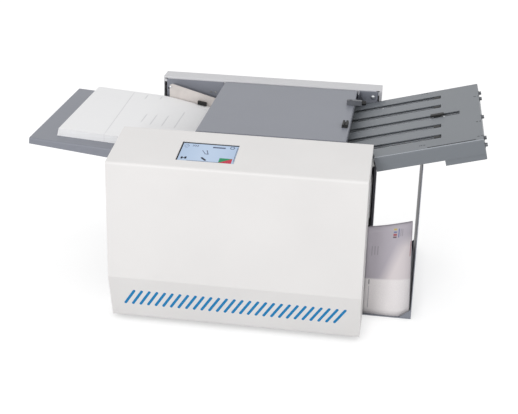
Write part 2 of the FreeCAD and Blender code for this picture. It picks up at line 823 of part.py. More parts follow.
def paper_stack():
    """Sheets squared up at the left and fanned out thin towards the feed roller."""
    lift = 0.1
    left = (PAPER_LEFT - 4, tray_top(PAPER_LEFT - 4) + lift)
    lead_low = (PAPER_LEAD, tray_top(TRAY_RIGHT) + lift)
    lead_high = (PAPER_LEAD, lead_low[1] + PAPER_LEAD_HEIGHT)
    top_left = (PAPER_LEFT, tray_top(PAPER_LEFT) + PAPER_STACK_HEIGHT)
    crest = (-262.0, tray_top(-262.0) + PAPER_STACK_HEIGHT - 0.4)
    y = PAPER_FRONT

    def at(point):
        return Vector(point[0], y, point[1])

    top = Part.BSplineCurve()
    fan = [(-215.0, 12.6), (-170.0, 6.4), (-130.0, 2.8)]
    middle = [(x, tray_top(x) + height) for x, height in fan]
    top.interpolate([at(point) for point in [crest] + middle + [lead_high]])
    edges = [
        Part.LineSegment(at(lead_low), at(lead_high)).toShape(),
        top.toShape(),
        Part.LineSegment(at(crest), at(top_left)).toShape(),
        Part.LineSegment(at(top_left), at(left)).toShape(),
        Part.LineSegment(at(left), at((TRAY_RIGHT, tray_top(TRAY_RIGHT) + lift))).toShape(),
        Part.LineSegment(at((TRAY_RIGHT, tray_top(TRAY_RIGHT) + lift)), at(lead_low)).toShape(),
    ]
    wire = Part.Wire(Part.__sortEdges__(edges))
    return Part.Face(wire).extrude(Vector(0, PAPER_WIDTH, 0))


def side_guide(face, outward, top):
    """A guide plate on a stem with a block that slides on the guide rod."""
    plate_y = sorted((face, face + outward * GUIDE_SHEET))
    slope = math.tan(math.radians(GUIDE_TOP_SLOPE))
    right_top = top - slope * (GUIDE_RIGHT - GUIDE_LEFT)
    points = [
        (GUIDE_LEFT, tray_top(GUIDE_LEFT) + 1),
        (GUIDE_RIGHT, tray_top(GUIDE_RIGHT) + 1),
        (GUIDE_RIGHT, right_top),
        (GUIDE_LEFT + 6, top - 1),
        (GUIDE_LEFT, top - 4),
    ]
    plate = prism_y(points, plate_y)
    stem_y = sorted((face, face + outward * 4))
    stem = box((GUIDE_ROD_X - 6, GUIDE_ROD_X + 6), stem_y, (GUIDE_ROD_Z, tray_top(GUIDE_ROD_X) + 10))
    block_y = sorted((face - outward * 9, face + outward * 7))
    block = box(
        (GUIDE_ROD_X - 7, GUIDE_ROD_X + 7),
        block_y,
        (GUIDE_ROD_Z - 7, GUIDE_ROD_Z + 7),
    )
    hole = rod(
        (GUIDE_ROD_X, GUIDE_ROD_Z),
        GUIDE_ROD_RADIUS + RUNNING_GAP,
        (block_y[0] - 1, block_y[1] + 1),
    )
    return fuse([plate, stem, block]).cut(hole)


def guide_tab():
    """A small runner on the rear guide that holds the sheets' edges down."""
    x = (-166.0, -147.0)
    points = [
        (x[0], tray_top(x[0]) + 7.2),
        (x[1], tray_top(x[1]) + 5.6),
        (x[1], tray_top(x[1]) + 12.0),
        (x[0], tray_top(x[0]) + 14.0),
    ]
    face = guide_face_rear()
    return prism_y(points, (face - 8, face))


def separator_arm():
    """A sprung arm under the feed roller that carries the separator pad."""
    points = [
        (-98, 286),
        (-60, 276),
        (-52, 282),
        (-56, 290),
        (-70, 292),
        (-74, 294.5),
        (-98, 294.5),
    ]
    arm = prism_y(points, (PATH_Y - 28, PATH_Y + 28))
    return arm.cut(rod(SEPARATOR_PIVOT, 3 + RUNNING_GAP, (PATH_Y - 40, PATH_Y + 40)))


SEPARATOR_PIVOT = (-60.0, 283.0)


def separator_pad():
    return box((-96, -75), (PATH_Y - 22, PATH_Y + 22), (294.5, 298.3))


def sheet_guides():
    """Bent sheets that carry the paper: into the first nip, then past the press rollers."""
    width = (FRAME_FRONT_IN, FRAME_REAR_IN)
    into_nip = bent_sheet_y([(22, 282), (21, 288.6), (-54, 296.8), (-68, 294)], 1.2, 2.0, width)
    opening = box((-75, -48), (PATH_Y - 30, PATH_Y + 30), (270, 300))
    into_nip = into_nip.cut(opening)
    clear = 4.0
    drop = math.atan2(PRESS_NIP[1] - NIP_3[1], PRESS_NIP[0] - NIP_3[0])

    def before_press(x, lift):
        return (x, NIP_3[1] + math.tan(drop) * (x - NIP_3[0]) + lift)

    def after_press(x, lift):
        slope = math.tan(math.radians(PRESS_ANGLE))
        return (x, PRESS_NIP[1] + slope * (x - PRESS_NIP[0]) + lift)

    lower = [before_press(127, -clear), before_press(82, -clear), (82, 226)]
    upper = [(94, 254), before_press(94, clear), before_press(131, clear)]
    outlet = [after_press(221, -clear), after_press(170, -clear), (168, 190)]
    sheets = [into_nip]
    for points in (lower, upper, outlet):
        sheets.append(bent_sheet_y(points, 1.2, 2.0, width))
    beside_flanges = box((FRAME_RIGHT - 16, FRAME_RIGHT), (width[0] + 3, width[1] - 3), (150, 230))
    beyond = box((FRAME_RIGHT - 16, FRAME_RIGHT), (width[0] - 1, width[1] + 1), (150, 230))
    sheets[-1] = sheets[-1].cut(beyond.cut(beside_flanges))
    pivot = rod(SEPARATOR_PIVOT, 3, width)
    return group(sheets + [pivot])


# Rollers, gears and belts

def roller(centre, pitch, shaft, front, rear):
    """A rubber-covered roller on a shaft, with small chamfers at the cover's ends."""
    body = rod(centre, pitch - ROLLER_GAP, (ROLLER_FRONT, ROLLER_REAR))
    return fuse([body, rod(centre, shaft, (front, rear))])


def involute(angle):
    return math.tan(angle) - angle


def gear_teeth(teeth, centre, phase, y):
    """A spur gear with involute teeth, one of them centred on the phase angle."""
    pitch = GEAR_MODULE * teeth / 2
    pressure = math.radians(PRESSURE_ANGLE)
    base = pitch * math.cos(pressure)
    tip = pitch + GEAR_MODULE * ADDENDUM
    root = pitch - GEAR_MODULE * DEDENDUM
    half_at_pitch = math.pi / (2 * teeth) - BACKLASH / (2 * pitch)

    def half_width(radius):
        if radius <= base:
            return half_at_pitch + involute(pressure)
        return half_at_pitch + involute(pressure) - involute(math.acos(base / radius))

    flank = [root, (max(base, root) + pitch) / 2, pitch + 0.2, tip]
    points = []
    for tooth in range(teeth):
        middle = math.radians(phase) + 2 * math.pi * tooth / teeth
        for radius in flank:
            angle = middle - half_width(radius)
            points.append((centre[0] + radius * math.cos(angle), centre[1] + radius * math.sin(angle)))
        for radius in reversed(flank):
            angle = middle + half_width(radius)
            points.append((centre[0] + radius * math.cos(angle), centre[1] + radius * math.sin(angle)))
    return prism_y(points, y)


def gear(teeth, centre, phase, bore):
    y = (GEAR_FRONT, GEAR_FRONT + GEAR_WIDTH)
    return gear_teeth(teeth, centre, phase, y).cut(rod(centre, bore, (y[0] - 1, y[1] + 1)))


def meshed_phase(centre, teeth, phase, other_centre, other_teeth):
    """The phase at which a second gear's teeth sit in the first one's gaps."""
    line = math.degrees(math.atan2(other_centre[1] - centre[1], other_centre[0] - centre[0]))
    return line + 180 + 180 / other_teeth - (teeth / other_teeth) * (phase - line)


PHASE_2 = 0.0
PHASE_1 = meshed_phase(ROLLER_2, ROLLER_TEETH, PHASE_2, ROLLER_1, ROLLER_TEETH)
PHASE_3 = meshed_phase(ROLLER_2, ROLLER_TEETH, PHASE_2, ROLLER_3, ROLLER_TEETH)
PHASE_4 = meshed_phase(ROLLER_3, ROLLER_TEETH, PHASE_3, ROLLER_4, ROLLER_TEETH)
PHASE_IDLER = meshed_phase(ROLLER_4, ROLLER_TEETH, PHASE_4, IDLER, IDLER_TEETH)
PHASE_PRESS_LOWER = meshed_phase(IDLER, IDLER_TEETH, PHASE_IDLER, PRESS_LOWER, PRESS_TEETH)
PHASE_PRESS_UPPER = meshed_phase(
    PRESS_LOWER, PRESS_TEETH, PHASE_PRESS_LOWER, PRESS_UPPER, PRESS_TEETH
)


def pulley(centre, radius, front, bore):
    """A flanged belt pulley."""
    flange = 1.2
    y = (front, front + BELT_WIDTH + 1)
    core = rod(centre, radius, y)
    rims = [
        rod(centre, radius + 2.5, (y[0] - flange, y[0])),
        rod(centre, radius + 2.5, (y[1], y[1] + flange)),
    ]
    whole = fuse([core] + rims)
    if bore:
        whole = whole.cut(rod(centre, bore, (y[0] - 5, y[1] + 5)))
    return whole


def loop_face(first, first_radius, second, second_radius, y):
    """The face inside a tight loop round two circles."""
    span = distance(first, second)
    line = math.degrees(math.atan2(second[1] - first[1], second[0] - first[0]))
    lean = math.degrees(math.acos((first_radius - second_radius) / span))

    def at(point):
        return Vector(point[0], y, point[1])

    upper = [polar(first, first_radius, line + lean), polar(second, second_radius, line + lean)]
    lower = [polar(first, first_radius, line - lean), polar(second, second_radius, line - lean)]
    edges = [
        Part.LineSegment(at(upper[0]), at(upper[1])).toShape(),
        Part.Arc(at(upper[1]), at(polar(second, second_radius, line)), at(lower[1])).toShape(),
        Part.LineSegment(at(lower[1]), at(lower[0])).toShape(),
        Part.Arc(at(lower[0]), at(polar(first, first_radius, line + 180)), at(upper[0])).toShape(),
    ]
    return Part.Face(Part.Wire(edges))


def belt(first, first_radius, second, second_radius, front):
    inner = BELT_GAP
    outer = BELT_GAP + BELT_THICKNESS
    depth = Vector(0, BELT_WIDTH, 0)
    start = front + 0.5
    big = loop_face(first, first_radius + outer, second, second_radius + outer, start)
    small = loop_face(first, first_radius + inner, second, second_radius + inner, start)
    return big.extrude(depth).cut(small.extrude(depth))


def drive_belts():
    main = belt(ROLLER_2, MAIN_PULLEY, MOTOR, MOTOR_PULLEY, MAIN_BELT_FRONT)
    feed = belt(FEED_ROLLER, FEED_PULLEY, ROLLER_1, FEED_PULLEY, FEED_BELT_FRONT)
    return group([main, feed])


def roller_bearings():
    """Plain bearings pressed into both frames."""
    rings = []
    for centre, shaft in shaft_list():
        for y in (
            (FRAME_FRONT_OUT - 2, FRAME_FRONT_IN + 4),
            (FRAME_REAR_IN - 4, FRAME_REAR_OUT + 2),
        ):
            rings.append(ring(centre, shaft + BEARING_WALL, shaft + RUNNING_GAP, y))
    return group(rings)


def feed_shaft():
    shaft = rod(FEED_ROLLER, ROLLER_SHAFT, (FEED_BELT_FRONT - 2, FRAME_REAR_OUT + 5))
    return fuse([shaft, pulley(FEED_ROLLER, FEED_PULLEY, FEED_BELT_FRONT, 0)])


def feed_tyres():
    """Three ribbed rubber tyres on the feed shaft."""
    tyres = []
    for place in (-1, 0, 1):
        middle = PATH_Y + place * FEED_TYRE_PITCH
        y = (middle - FEED_TYRE_WIDTH / 2, middle + FEED_TYRE_WIDTH / 2)
        tyre = ring(FEED_ROLLER, FEED_TYRE_RADIUS, ROLLER_SHAFT, y)
        for groove in (-6.0, 0.0, 6.0):
            cutter_y = (middle + groove - 0.8, middle + groove + 0.8)
            tyre = tyre.cut(ring(FEED_ROLLER, FEED_TYRE_RADIUS + 1, FEED_TYRE_RADIUS - 1.2, cutter_y))
        tyres.append(tyre)
    return group(tyres)


def fold_roller_1():
    body = roller(ROLLER_1, ROLLER_PITCH, ROLLER_SHAFT, FEED_BELT_FRONT - 2, FRAME_REAR_OUT + 5)
    return fuse([body, pulley(ROLLER_1, FEED_PULLEY, FEED_BELT_FRONT, 0)])


def fold_roller_2():
    return roller(ROLLER_2, ROLLER_PITCH, ROLLER_SHAFT, MAIN_BELT_FRONT - 2, FRAME_REAR_OUT + 5)


def short_roller(centre):
    return roller(centre, ROLLER_PITCH, ROLLER_SHAFT, GEAR_FRONT - 1, FRAME_REAR_OUT + 5)


def press_roller(centre, phase):
    """A heavy steel roller with its gear keyed on."""
    body = roller(centre, PRESS_PITCH, PRESS_SHAFT, GEAR_FRONT - 1, FRAME_REAR_OUT + 5)
    return fuse([body, gear(PRESS_TEETH, centre, phase, PRESS_SHAFT - 1)])


def motor_pulley():
    shaft = rod(MOTOR, 5, (MAIN_BELT_FRONT - 2, FRAME_FRONT_IN + 28))
    return fuse([shaft, pulley(MOTOR, MOTOR_PULLEY, MAIN_BELT_FRONT, 0)])


# Lower fold plate

def on_lower_plate(shape):
    """From a frame with X down the plate and Z to its left, to its place."""
    placed = shape.copy()
    direction = ROLLER_3_ANGLE - 90
    placed.rotate(Vector(0, 0, 0), Y_AXIS, -direction)
    left = polar((0, 0), LOWER_PLATE_SHIFT, direction - 90)
    placed.translate(Vector(NIP_2[0] + left[0], 0, NIP_2[1] + left[1]))
    return placed


def lower_fold_plate():
    """Two slotted sheets held apart by channels that are bolted to the frames."""
    half = PLATE_GAP / 2
    y = (LOWER_PLATE_FRONT, LOWER_PLATE_BACK)
    left_sheet = box((16, LOWER_PLATE_LENGTH), y, (-half - LOWER_SHEET, -half))
    right_sheet = box((30, LOWER_PLATE_LENGTH), y, (half, half + LOWER_SHEET))
    for place in lower_rod_places():
        for start in (LOWER_ROD_START, LOWER_PLATE_LENGTH - 5):
            hanger = box((start, start + 5), (place - 6, place + 6), (LOWER_ROD_W - 5, -half))
            left_sheet = left_sheet.fuse(hanger)
        left_sheet = left_sheet.fuse(lower_rod(place, 0.0))
    pieces = []
    for sheet in (left_sheet, right_sheet):
        for place in (-1, 0, 1):
            middle = PATH_Y + 80 * place
            cutter = slot((60, LOWER_PLATE_LENGTH - 8), (middle - 8, middle + 8), (-9, 9))
            sheet = sheet.cut(cutter)
        pieces.append(sheet)
    deep = 9.0
    for frame, side in ((FRAME_FRONT_IN, 1), (FRAME_REAR_IN, -1)):
        web = frame + side * 20
        points = [(frame, -deep), (web, -deep), (web, deep), (frame, deep)]
        if side < 0:
            points.reverse()
        channel = bent_sheet_x(points, 1.5, 1.0, (48, LOWER_PLATE_LENGTH))
        pieces.append(on_lower_plate(channel))
    return group([on_lower_plate(piece) for piece in pieces[:2]] + pieces[2:])


def lower_rod_places():
    return [PATH_Y - LOWER_ROD_REACH, PATH_Y + LOWER_ROD_REACH]


def lower_rod(y, gap):
    start = Vector(LOWER_ROD_START, y, LOWER_ROD_W)
    length = LOWER_PLATE_LENGTH - LOWER_ROD_START
    return Part.makeCylinder(STOP_ROD_RADIUS + gap, length, start, X_AXIS)


def lower_fold_stop():
    """A bar on two rods outside the left sheet, with three fingers through the slots."""
    x = (LOWER_STOP_AT, LOWER_STOP_AT + 10)
    bar = box(x, (PATH_Y - 110, PATH_Y + 110), (-16, -5))
    for place in lower_rod_places():
        bar = bar.cut(lower_rod(place, RUNNING_GAP))
    for place in (-1, 0, 1):
        middle = PATH_Y + 80 * place
        bar = bar.fuse(box(x, (middle - 5, middle + 5), (-6, 4)))
    return on_lower_plate(bar.removeSplitter())


# Top cover

def top_cover():
    """A flat folded lid with two hinge ears."""
    y = (TOP_COVER_FRONT, TOP_COVER_BACK)
    low = TOP_COVER_TOP - 14.5
    points = [
        (TOP_COVER_RIGHT, low),
        (TOP_COVER_RIGHT, TOP_COVER_TOP),
        (TOP_COVER_LEFT, TOP_COVER_TOP),
        (TOP_COVER_LEFT, low),
    ]
    lid = bent_sheet_y(points, TOP_COVER_SHEET, 1.0, y)
    front = box(
        (TOP_COVER_LEFT + 2, TOP_COVER_RIGHT - 2),
        (y[0], y[0] + TOP_COVER_SHEET),
        (low, TOP_COVER_TOP - 1),
    )
    behind = box((TOP_COVER_LEFT - 1, TOP_COVER_RIGHT + 1), (198, 215), (low - 1, TOP_COVER_TOP - 2))
    lid = fuse([lid.cut(behind), front])
    ears = []
    for x in HINGE_PLACES:
        span = (x, x + 4)
        tab = box(span, (HINGE_Y - 3.2, HINGE_Y + 3.2), (HINGE_Z, TOP_COVER_TOP - 1))
        knuckle = Part.makeCylinder(HINGE_KNUCKLE_RADIUS, 4, Vector(x, HINGE_Y, HINGE_Z), X_AXIS)
        hole = Part.makeCylinder(
            HINGE_PIN_RADIUS + RUNNING_GAP, 8, Vector(x - 2, HINGE_Y, HINGE_Z), X_AXIS
        )
        ears.append((tab.fuse(knuckle), hole))
    for ear, hole in ears:
        lid = lid.fuse(ear).cut(hole)
    latch_slot = box(
        (LATCH_X + 4, LATCH_X + 8),
        (LATCH_Y + 8.6, LATCH_Y + 17.4 + LATCH_TRAVEL),
        (TOP_COVER_TOP - 5, TOP_COVER_TOP + 1),
    )
    start = Vector(LEVER_PIVOT[0], LEVER_PIVOT[1], TOP_COVER_TOP - 5)
    lever_hole = Part.makeCylinder(LEVER_SHANK + RUNNING_GAP, 8, start)
    return lid.cut(latch_slot).cut(lever_hole).removeSplitter()


def hinge_brackets():
    """Brackets on the rear frame with the pins that the lid's ears turn on."""
    brackets = []
    for x in HINGE_PLACES:
        span = (x + 4.4, x + 14)
        points = [
            (FRAME_REAR_IN, 320),
            (FRAME_REAR_IN, 336),
            (HINGE_Y + 3.2, 344),
            (HINGE_Y + 3.2, HINGE_Z),
            (HINGE_Y - 3.2, HINGE_Z),
            (HINGE_Y - 3.2, 342),
        ]
        block = prism_x(points, span)
        knuckle = Part.makeCylinder(
            HINGE_KNUCKLE_RADIUS, span[1] - span[0], Vector(span[0], HINGE_Y, HINGE_Z), X_AXIS
        )
        pin = Part.makeCylinder(
            HINGE_PIN_RADIUS, span[1] - x + 1, Vector(x - 1, HINGE_Y, HINGE_Z), X_AXIS
        )
        brackets.append(fuse([block, knuckle, pin]))
    return group(brackets)




def cover_latch():
    """A ribbed thumb slide on the lid's right edge, with a foot below the lid."""
    low = TOP_COVER_TOP + LID_GAP
    base = box((LATCH_X, LATCH_X + 12), (LATCH_Y, LATCH_Y + 30), (low, low + 2))
    ribs = []
    for x in (LATCH_X + 0.5, LATCH_X + 7.0):
        ribs.append(box((x, x + 4.5), (LATCH_Y + 1, LATCH_Y + 29), (low, low + 6)))
    grip = fuse([base] + ribs)
    grip = round_edges(grip, 1.2, lambda m, a: m.z > low + 5.9 and abs(a.y) > 0.9)
    under = TOP_COVER_TOP - TOP_COVER_SHEET - LID_GAP
    stem = box((LATCH_X + 4.4, LATCH_X + 7.6), (LATCH_Y + 9, LATCH_Y + 17), (under - 1, low + 1))
    foot = box((LATCH_X + 1, LATCH_X + 11), (LATCH_Y + 7, LATCH_Y + 19), (under - 1.5, under))
    return fuse([grip, stem, foot])


def cover_lever():
    """A flat lever on the lid that turns about an upright screw."""
    low = TOP_COVER_TOP + LID_GAP
    y = (LEVER_PIVOT[1] - LEVER_HALF_WIDTH, LEVER_PIVOT[1] + LEVER_HALF_WIDTH)
    arm = box((LEVER_PIVOT[0] - 8, LEVER_REACH), y, (low, LEVER_TOP))
    arm = round_edges(arm, 3.5, lambda m, a: abs(a.z) > 0.9 and m.x < LEVER_PIVOT[0])
    turned = [
        (3.2, LEVER_TOP - 1, LEVER_TOP + 1.2),
        (LEVER_SHANK, TOP_COVER_TOP - TOP_COVER_SHEET - 2, low + 1),
        (4.5, TOP_COVER_TOP - TOP_COVER_SHEET - 2, TOP_COVER_TOP - TOP_COVER_SHEET - LID_GAP),
    ]
    for radius, bottom, top in turned:
        start = Vector(LEVER_PIVOT[0], LEVER_PIVOT[1], bottom)
        arm = arm.fuse(Part.makeCylinder(radius, top - bottom, start))
    return arm.removeSplitter()


def lever_knob():
    knob = Part.makeCylinder(
        4.6, 9, Vector(LEVER_REACH, LEVER_PIVOT[1], (TOP_COVER_TOP + LEVER_TOP) / 2 + 0.3), X_AXIS
    )
    ends = [edge for edge in knob.Edges if edge.Curve.TypeId == "Part::GeomCircle"]
    return knob.makeFillet(1.2, ends)


# Upper fold plate

def slot_places():
    middle = (SLOT_COUNT - 1) / 2
    return [PATH_Y + SLOT_PITCH * (index - middle) for index in range(SLOT_COUNT)]


def slot_end(y):
    return MIDDLE_SLOT_END if abs(y - PATH_Y) < 1 else SLOT_END


def cut_slots(sheet):
    for y in slot_places():
        half = SLOT_WIDTH / 2
        cutter = box((SLOT_START, slot_end(y)), (y - half, y + half), (-10, 5))
        sheet = sheet.cut(round_edges(cutter, 2.0, lambda m, a: abs(a.z) > 0.9))
    return sheet


def plate_top_sheet():
    """The slotted top sheet: a narrow tongue in the body, a wide skirted part outside."""
    wide = bent_sheet_x(
        [
            (PLATE_BACK, -PLATE_SKIRT),
            (PLATE_BACK, 0),
            (PLATE_FRONT, 0),
            (PLATE_FRONT, -PLATE_SKIRT),
        ],
        PLATE_SHEET,
        1.5,
        (PLATE_SHOULDER, PLATE_END),
    )
    tongue = box((PLATE_TONGUE, PLATE_SHOULDER + 1), (TONGUE_FRONT, TONGUE_BACK), (-PLATE_SHEET, 0))
    sheet = cut_slots(fuse([wide, tongue]))
    slit = box((88, 178), (PLATE_FRONT + 5.5, PLATE_FRONT + 7.3), (-5, 5))
    return on_plate(sheet.cut(slit))


def plate_bottom_sheet():
    """The slotted lower sheet with a hem along each side that sets the gap."""
    top = -PLATE_SHEET - PLATE_GAP
    u = (PLATE_TONGUE + 5, PLATE_END - 2)
    sheet = box(u, (TONGUE_FRONT + 1, TONGUE_BACK - 1), (top - PLATE_SHEET, top))
    hems = [
        box(u, (TONGUE_FRONT + 1, TONGUE_FRONT + 9), (top, -PLATE_SHEET)),
        box(u, (TONGUE_BACK - 9, TONGUE_BACK - 1), (top, -PLATE_SHEET)),
    ]
    low = top - PLATE_SHEET
    hangers = []
    for y in stop_rod_places():
        hanger = box((SLOT_START - 6, SLOT_START - 1), (y - 7, y + 7), (STOP_ROD_W - 5, low))
        hangers.append(hanger)
    whole = cut_slots(fuse([sheet] + hems + hangers))
    return on_plate(whole.cut(stop_rod_holes(0.0)))


def stop_rod_places():
    return [PATH_Y - STOP_ROD_REACH - 30, PATH_Y + STOP_ROD_REACH + 30]


def stop_rod_holes(gap):
    holes = []
    for y in stop_rod_places():
        start = Vector(SLOT_START - 6, y, STOP_ROD_W)
        holes.append(
            Part.makeCylinder(STOP_ROD_RADIUS + gap, PLATE_END - 1.5 - start.x, start, X_AXIS)
        )
    return group(holes)


def stop_rods():
    return on_plate(stop_rod_holes(0.0))


def plate_end_box():
    """The deeper box at the plate's end, closed by the end wall."""
    inside = PLATE_SHEET
    channel = bent_sheet_x(
        [
            (PLATE_FRONT + inside, -8),
            (PLATE_FRONT + inside, -END_BOX_DEPTH),
            (PLATE_BACK - inside, -END_BOX_DEPTH),
            (PLATE_BACK - inside, -8),
        ],
        PLATE_SHEET,
        1.0,
        (END_BOX_START, PLATE_END - PLATE_SHEET),
    )
    front = PLATE_FRONT + inside
    back = PLATE_BACK - inside
    corner = 2.5
    wall = [
        (front, -END_BOX_DEPTH + corner),
        (front + corner, -END_BOX_DEPTH),
        (back - corner, -END_BOX_DEPTH),
        (back, -END_BOX_DEPTH + corner),
        (back, -PLATE_SHEET - corner),
        (back - corner, -PLATE_SHEET),
        (front + corner, -PLATE_SHEET),
        (front, -PLATE_SHEET - corner),
    ]
    end_wall = prism_x(wall, (PLATE_END - PLATE_SHEET, PLATE_END))
    return on_plate(fuse([channel, end_wall]))


def plate_fasteners():
    """Screw heads on the end wall and small paired rivets in the top sheet."""
    heads = []
    for y, w in ((161, -7), (124, -7), (8, -7), (-112, -7), (-128, -15)):
        washer = Part.makeCylinder(5.0, 1.2, Vector(PLATE_END, y, w), X_AXIS)
        head = Part.makeCylinder(3.6, 4.2, Vector(PLATE_END + 1.2, y, w), X_AXIS)
        heads.append(washer.fuse(head))
    for u, y in ((186, 123), (186, -35), (186, -118), (78, -117), (80, 202)):
        for side in (-4, 4):
            heads.append(Part.makeCylinder(1.3, 0.5, Vector(u + side, y, 0)))
    return on_plate(group(heads))


def fold_stop():
    """A bar on the two rods with a finger in each slot and a pointer in the middle one."""
    u = (STOP_START, STOP_START + STOP_LENGTH)
    low = STOP_ROD_W - 5.5
    high = STOP_ROD_W + 5.5
    reach = 2 * SLOT_PITCH + 14
    bar = box(u, (PATH_Y - reach, PATH_Y + reach), (low, high))
    for y in slot_places():
        half = FINGER_WIDTH / 2
        finger = box(u, (y - half, y + half), (high - 1, -0.4))
        bar = bar.fuse(finger)
    pointer = box((u[0] - 6, u[1] + 8), (PATH_Y - 5, PATH_Y + 5), (0.4, 4.0))
    neck = box(u, (PATH_Y - 5, PATH_Y + 5), (-1, 0.5))
    bar = fuse([bar, neck, pointer])
    holes = []
    for y in stop_rod_places():
        start = Vector(u[0] - 5, y, STOP_ROD_W)
        holes.append(
            Part.makeCylinder(STOP_ROD_RADIUS + RUNNING_GAP, STOP_LENGTH + 10, start, X_AXIS)
        )
    return on_plate(bar.cut(group(holes)))


def plate_brackets():
    """Upright brackets on the frames beside the tongue, with a three-cornered gusset."""
    brackets = []
    left = TOP_COVER_RIGHT + 3.0
    for frame, side in ((FRAME_REAR_IN, -1), (FRAME_FRONT_IN, 1)):
        high = 357.0 if side < 0 else 340.0
        leg = sorted((frame, frame + side * 2))
        plate = box((left, FRAME_RIGHT - 1), leg, (331, high))
        gusset = [
            (frame, high),
            (frame + side * 30, high),
            (frame + side * 12, 333),
            (frame, 331),
        ]
        brackets.append(plate.fuse(prism_x(gusset, (left, left + 2))).removeSplitter())
    screw = rod((213, 346), 4.2, (FRAME_REAR_IN - 4.5, FRAME_REAR_IN - 2))
    brackets[0] = brackets[0].fuse(screw)
    return group(brackets)


def frame_screws():
    """Screw heads on the outside of both frames at the tie bars, and two inside the rear one."""
    heads = []
    for x, z in tie_bar_places() + [(GUIDE_ROD_X, GUIDE_ROD_Z)]:
        heads.append(rod((x, z), 4.5, (FRAME_FRONT_OUT - 3, FRAME_FRONT_OUT)))
        heads.append(rod((x, z), 4.5, (FRAME_REAR_OUT, FRAME_REAR_OUT + 3)))
    for x in (-142, -132):
        heads.append(rod((x, 332), 2.2, (FRAME_REAR_IN - 1.5, FRAME_REAR_IN)))
    return group(heads)


# Catch tray

def catch_tray():
    """A bent sheet: a tongue under the body, a floor and an upright wall, with corner gussets."""
    top = CATCH_FLOOR + CATCH_SHEET
    points = [
        (CATCH_WALL - CATCH_SHEET, CATCH_TOP),
        (CATCH_WALL - CATCH_SHEET, top),
        (CATCH_TONGUE, top),
    ]
    sheet = bent_sheet_y(points, CATCH_SHEET, 1.0, (CATCH_FRONT, CATCH_BACK))
    sheet = round_edges(sheet, 8, lambda m, a: abs(a.x) > 0.9 and m.z > CATCH_TOP - 0.1)
    corner = (CATCH_WALL - CATCH_SHEET - 0.5, top - 0.5)
    gusset = [
        (CATCH_WALL, CATCH_FLOOR),
        (CATCH_WALL, corner[1] + GUSSET_Z),
        (CATCH_WALL - GUSSET_X - 2, CATCH_FLOOR),
    ]
    gussets = []
    for y in ((CATCH_FRONT, CATCH_FRONT + 1.5), (CATCH_BACK - 1.5, CATCH_BACK)):
        gussets.append(prism_y(gusset, y))
    return fuse([sheet] + gussets)


def folded_sheets():
    """Folded sheets standing in the catch tray, leaning a little and turned as they lean."""
    x = (COVER_RIGHT + 2.5, COVER_RIGHT + 2.5 + FOLDED_WIDTH)
    low = CATCH_FLOOR + CATCH_SHEET + 0.1
    high = low + FOLDED_HEIGHT
    thickness = 10.0

    def ring_at(z, left_front, right_front, shift):
        corners = [
            Vector(x[0] + shift, left_front, z),
            Vector(x[1] + shift, right_front, z),
            Vector(x[1] + shift, right_front + thickness, z),
            Vector(x[0] + shift, left_front + thickness, z),
        ]
        return Part.makePolygon(corners + corners[:1])

    bottom = ring_at(low, -121.0, -121.0, 0.0)
    top = ring_at(high, -133.0, -106.0, -1.0)
    return Part.makeLoft([bottom, top], True, True)


def main():
    os.makedirs("parts", exist_ok=True)
    save("base_pan", base_pan())
    save("rubber_feet", rubber_feet())
    save("front_frame", front_frame())
    save("rear_frame", rear_frame())
    save("tie_bars", tie_bars())
    save("left_end_panel", left_end_panel())
    save("right_end_panel", right_end_panel())
    save("front_cover", front_cover())
    save("rear_cover", rear_cover())
    save("screen_bezel", screen_bezel())
    save("screen_glass", screen_glass())
    save("control_board", control_board())
    save("power_supply", power_supply())
    save("drive_motor", drive_motor())
    save("power_inlet", power_inlet())
    save("power_rocker", power_rocker())
    save("feed_tray", feed_tray())
    save("support_rails", support_rails())
    save("paper_stack", paper_stack())
    save("rear_side_guide", side_guide(guide_face_rear(), 1, GUIDE_TOP))
    save("front_side_guide", side_guide(guide_face_front(), -1, GUIDE_TOP - 8))
    save("guide_tab", guide_tab())
    save("separator_arm", separator_arm())
    save("separator_pad", separator_pad())
    save("sheet_guides", sheet_guides())
    save("roller_bearings", roller_bearings())
    save("drive_belts", drive_belts())
    save("feed_shaft", feed_shaft())
    save("feed_tyres", feed_tyres())
    save("fold_roller_1", fold_roller_1())
    save("fold_roller_2", fold_roller_2())
    save("fold_roller_3", short_roller(ROLLER_3))
    save("fold_roller_4", short_roller(ROLLER_4))
    save("roller_gear_1", gear(ROLLER_TEETH, ROLLER_1, PHASE_1, ROLLER_SHAFT))
    save("roller_gear_2", gear(ROLLER_TEETH, ROLLER_2, PHASE_2, ROLLER_SHAFT))
    save("roller_gear_3", gear(ROLLER_TEETH, ROLLER_3, PHASE_3, ROLLER_SHAFT))
    save("roller_gear_4", gear(ROLLER_TEETH, ROLLER_4, PHASE_4, ROLLER_SHAFT))
    save("drive_pulley", pulley(ROLLER_2, MAIN_PULLEY, MAIN_BELT_FRONT, ROLLER_SHAFT))
    save("idler_gear", gear(IDLER_TEETH, IDLER, PHASE_IDLER, IDLER_STUD + RUNNING_GAP))
    save("press_roller_upper", press_roller(PRESS_UPPER, PHASE_PRESS_UPPER))
    save("press_roller_lower", press_roller(PRESS_LOWER, PHASE_PRESS_LOWER))
    save("motor_pulley", motor_pulley())
    save("lower_fold_plate", lower_fold_plate())
    save("lower_fold_stop", lower_fold_stop())
    save("top_cover", top_cover())
    save("hinge_brackets", hinge_brackets())
    save("cover_latch", cover_latch())
    save("cover_lever", cover_lever())
    save("lever_knob", lever_knob())
    save("plate_top_sheet", plate_top_sheet())
    save("plate_bottom_sheet", plate_bottom_sheet())
    save("plate_end_box", plate_end_box())
    save("plate_fasteners", plate_fasteners())
    save("plate_brackets", plate_brackets())
    save("stop_rods", stop_rods())
    save("fold_stop", fold_stop())
    save("frame_screws", frame_screws())
    save("catch_tray", catch_tray())
    save("folded_sheets", folded_sheets())


main()
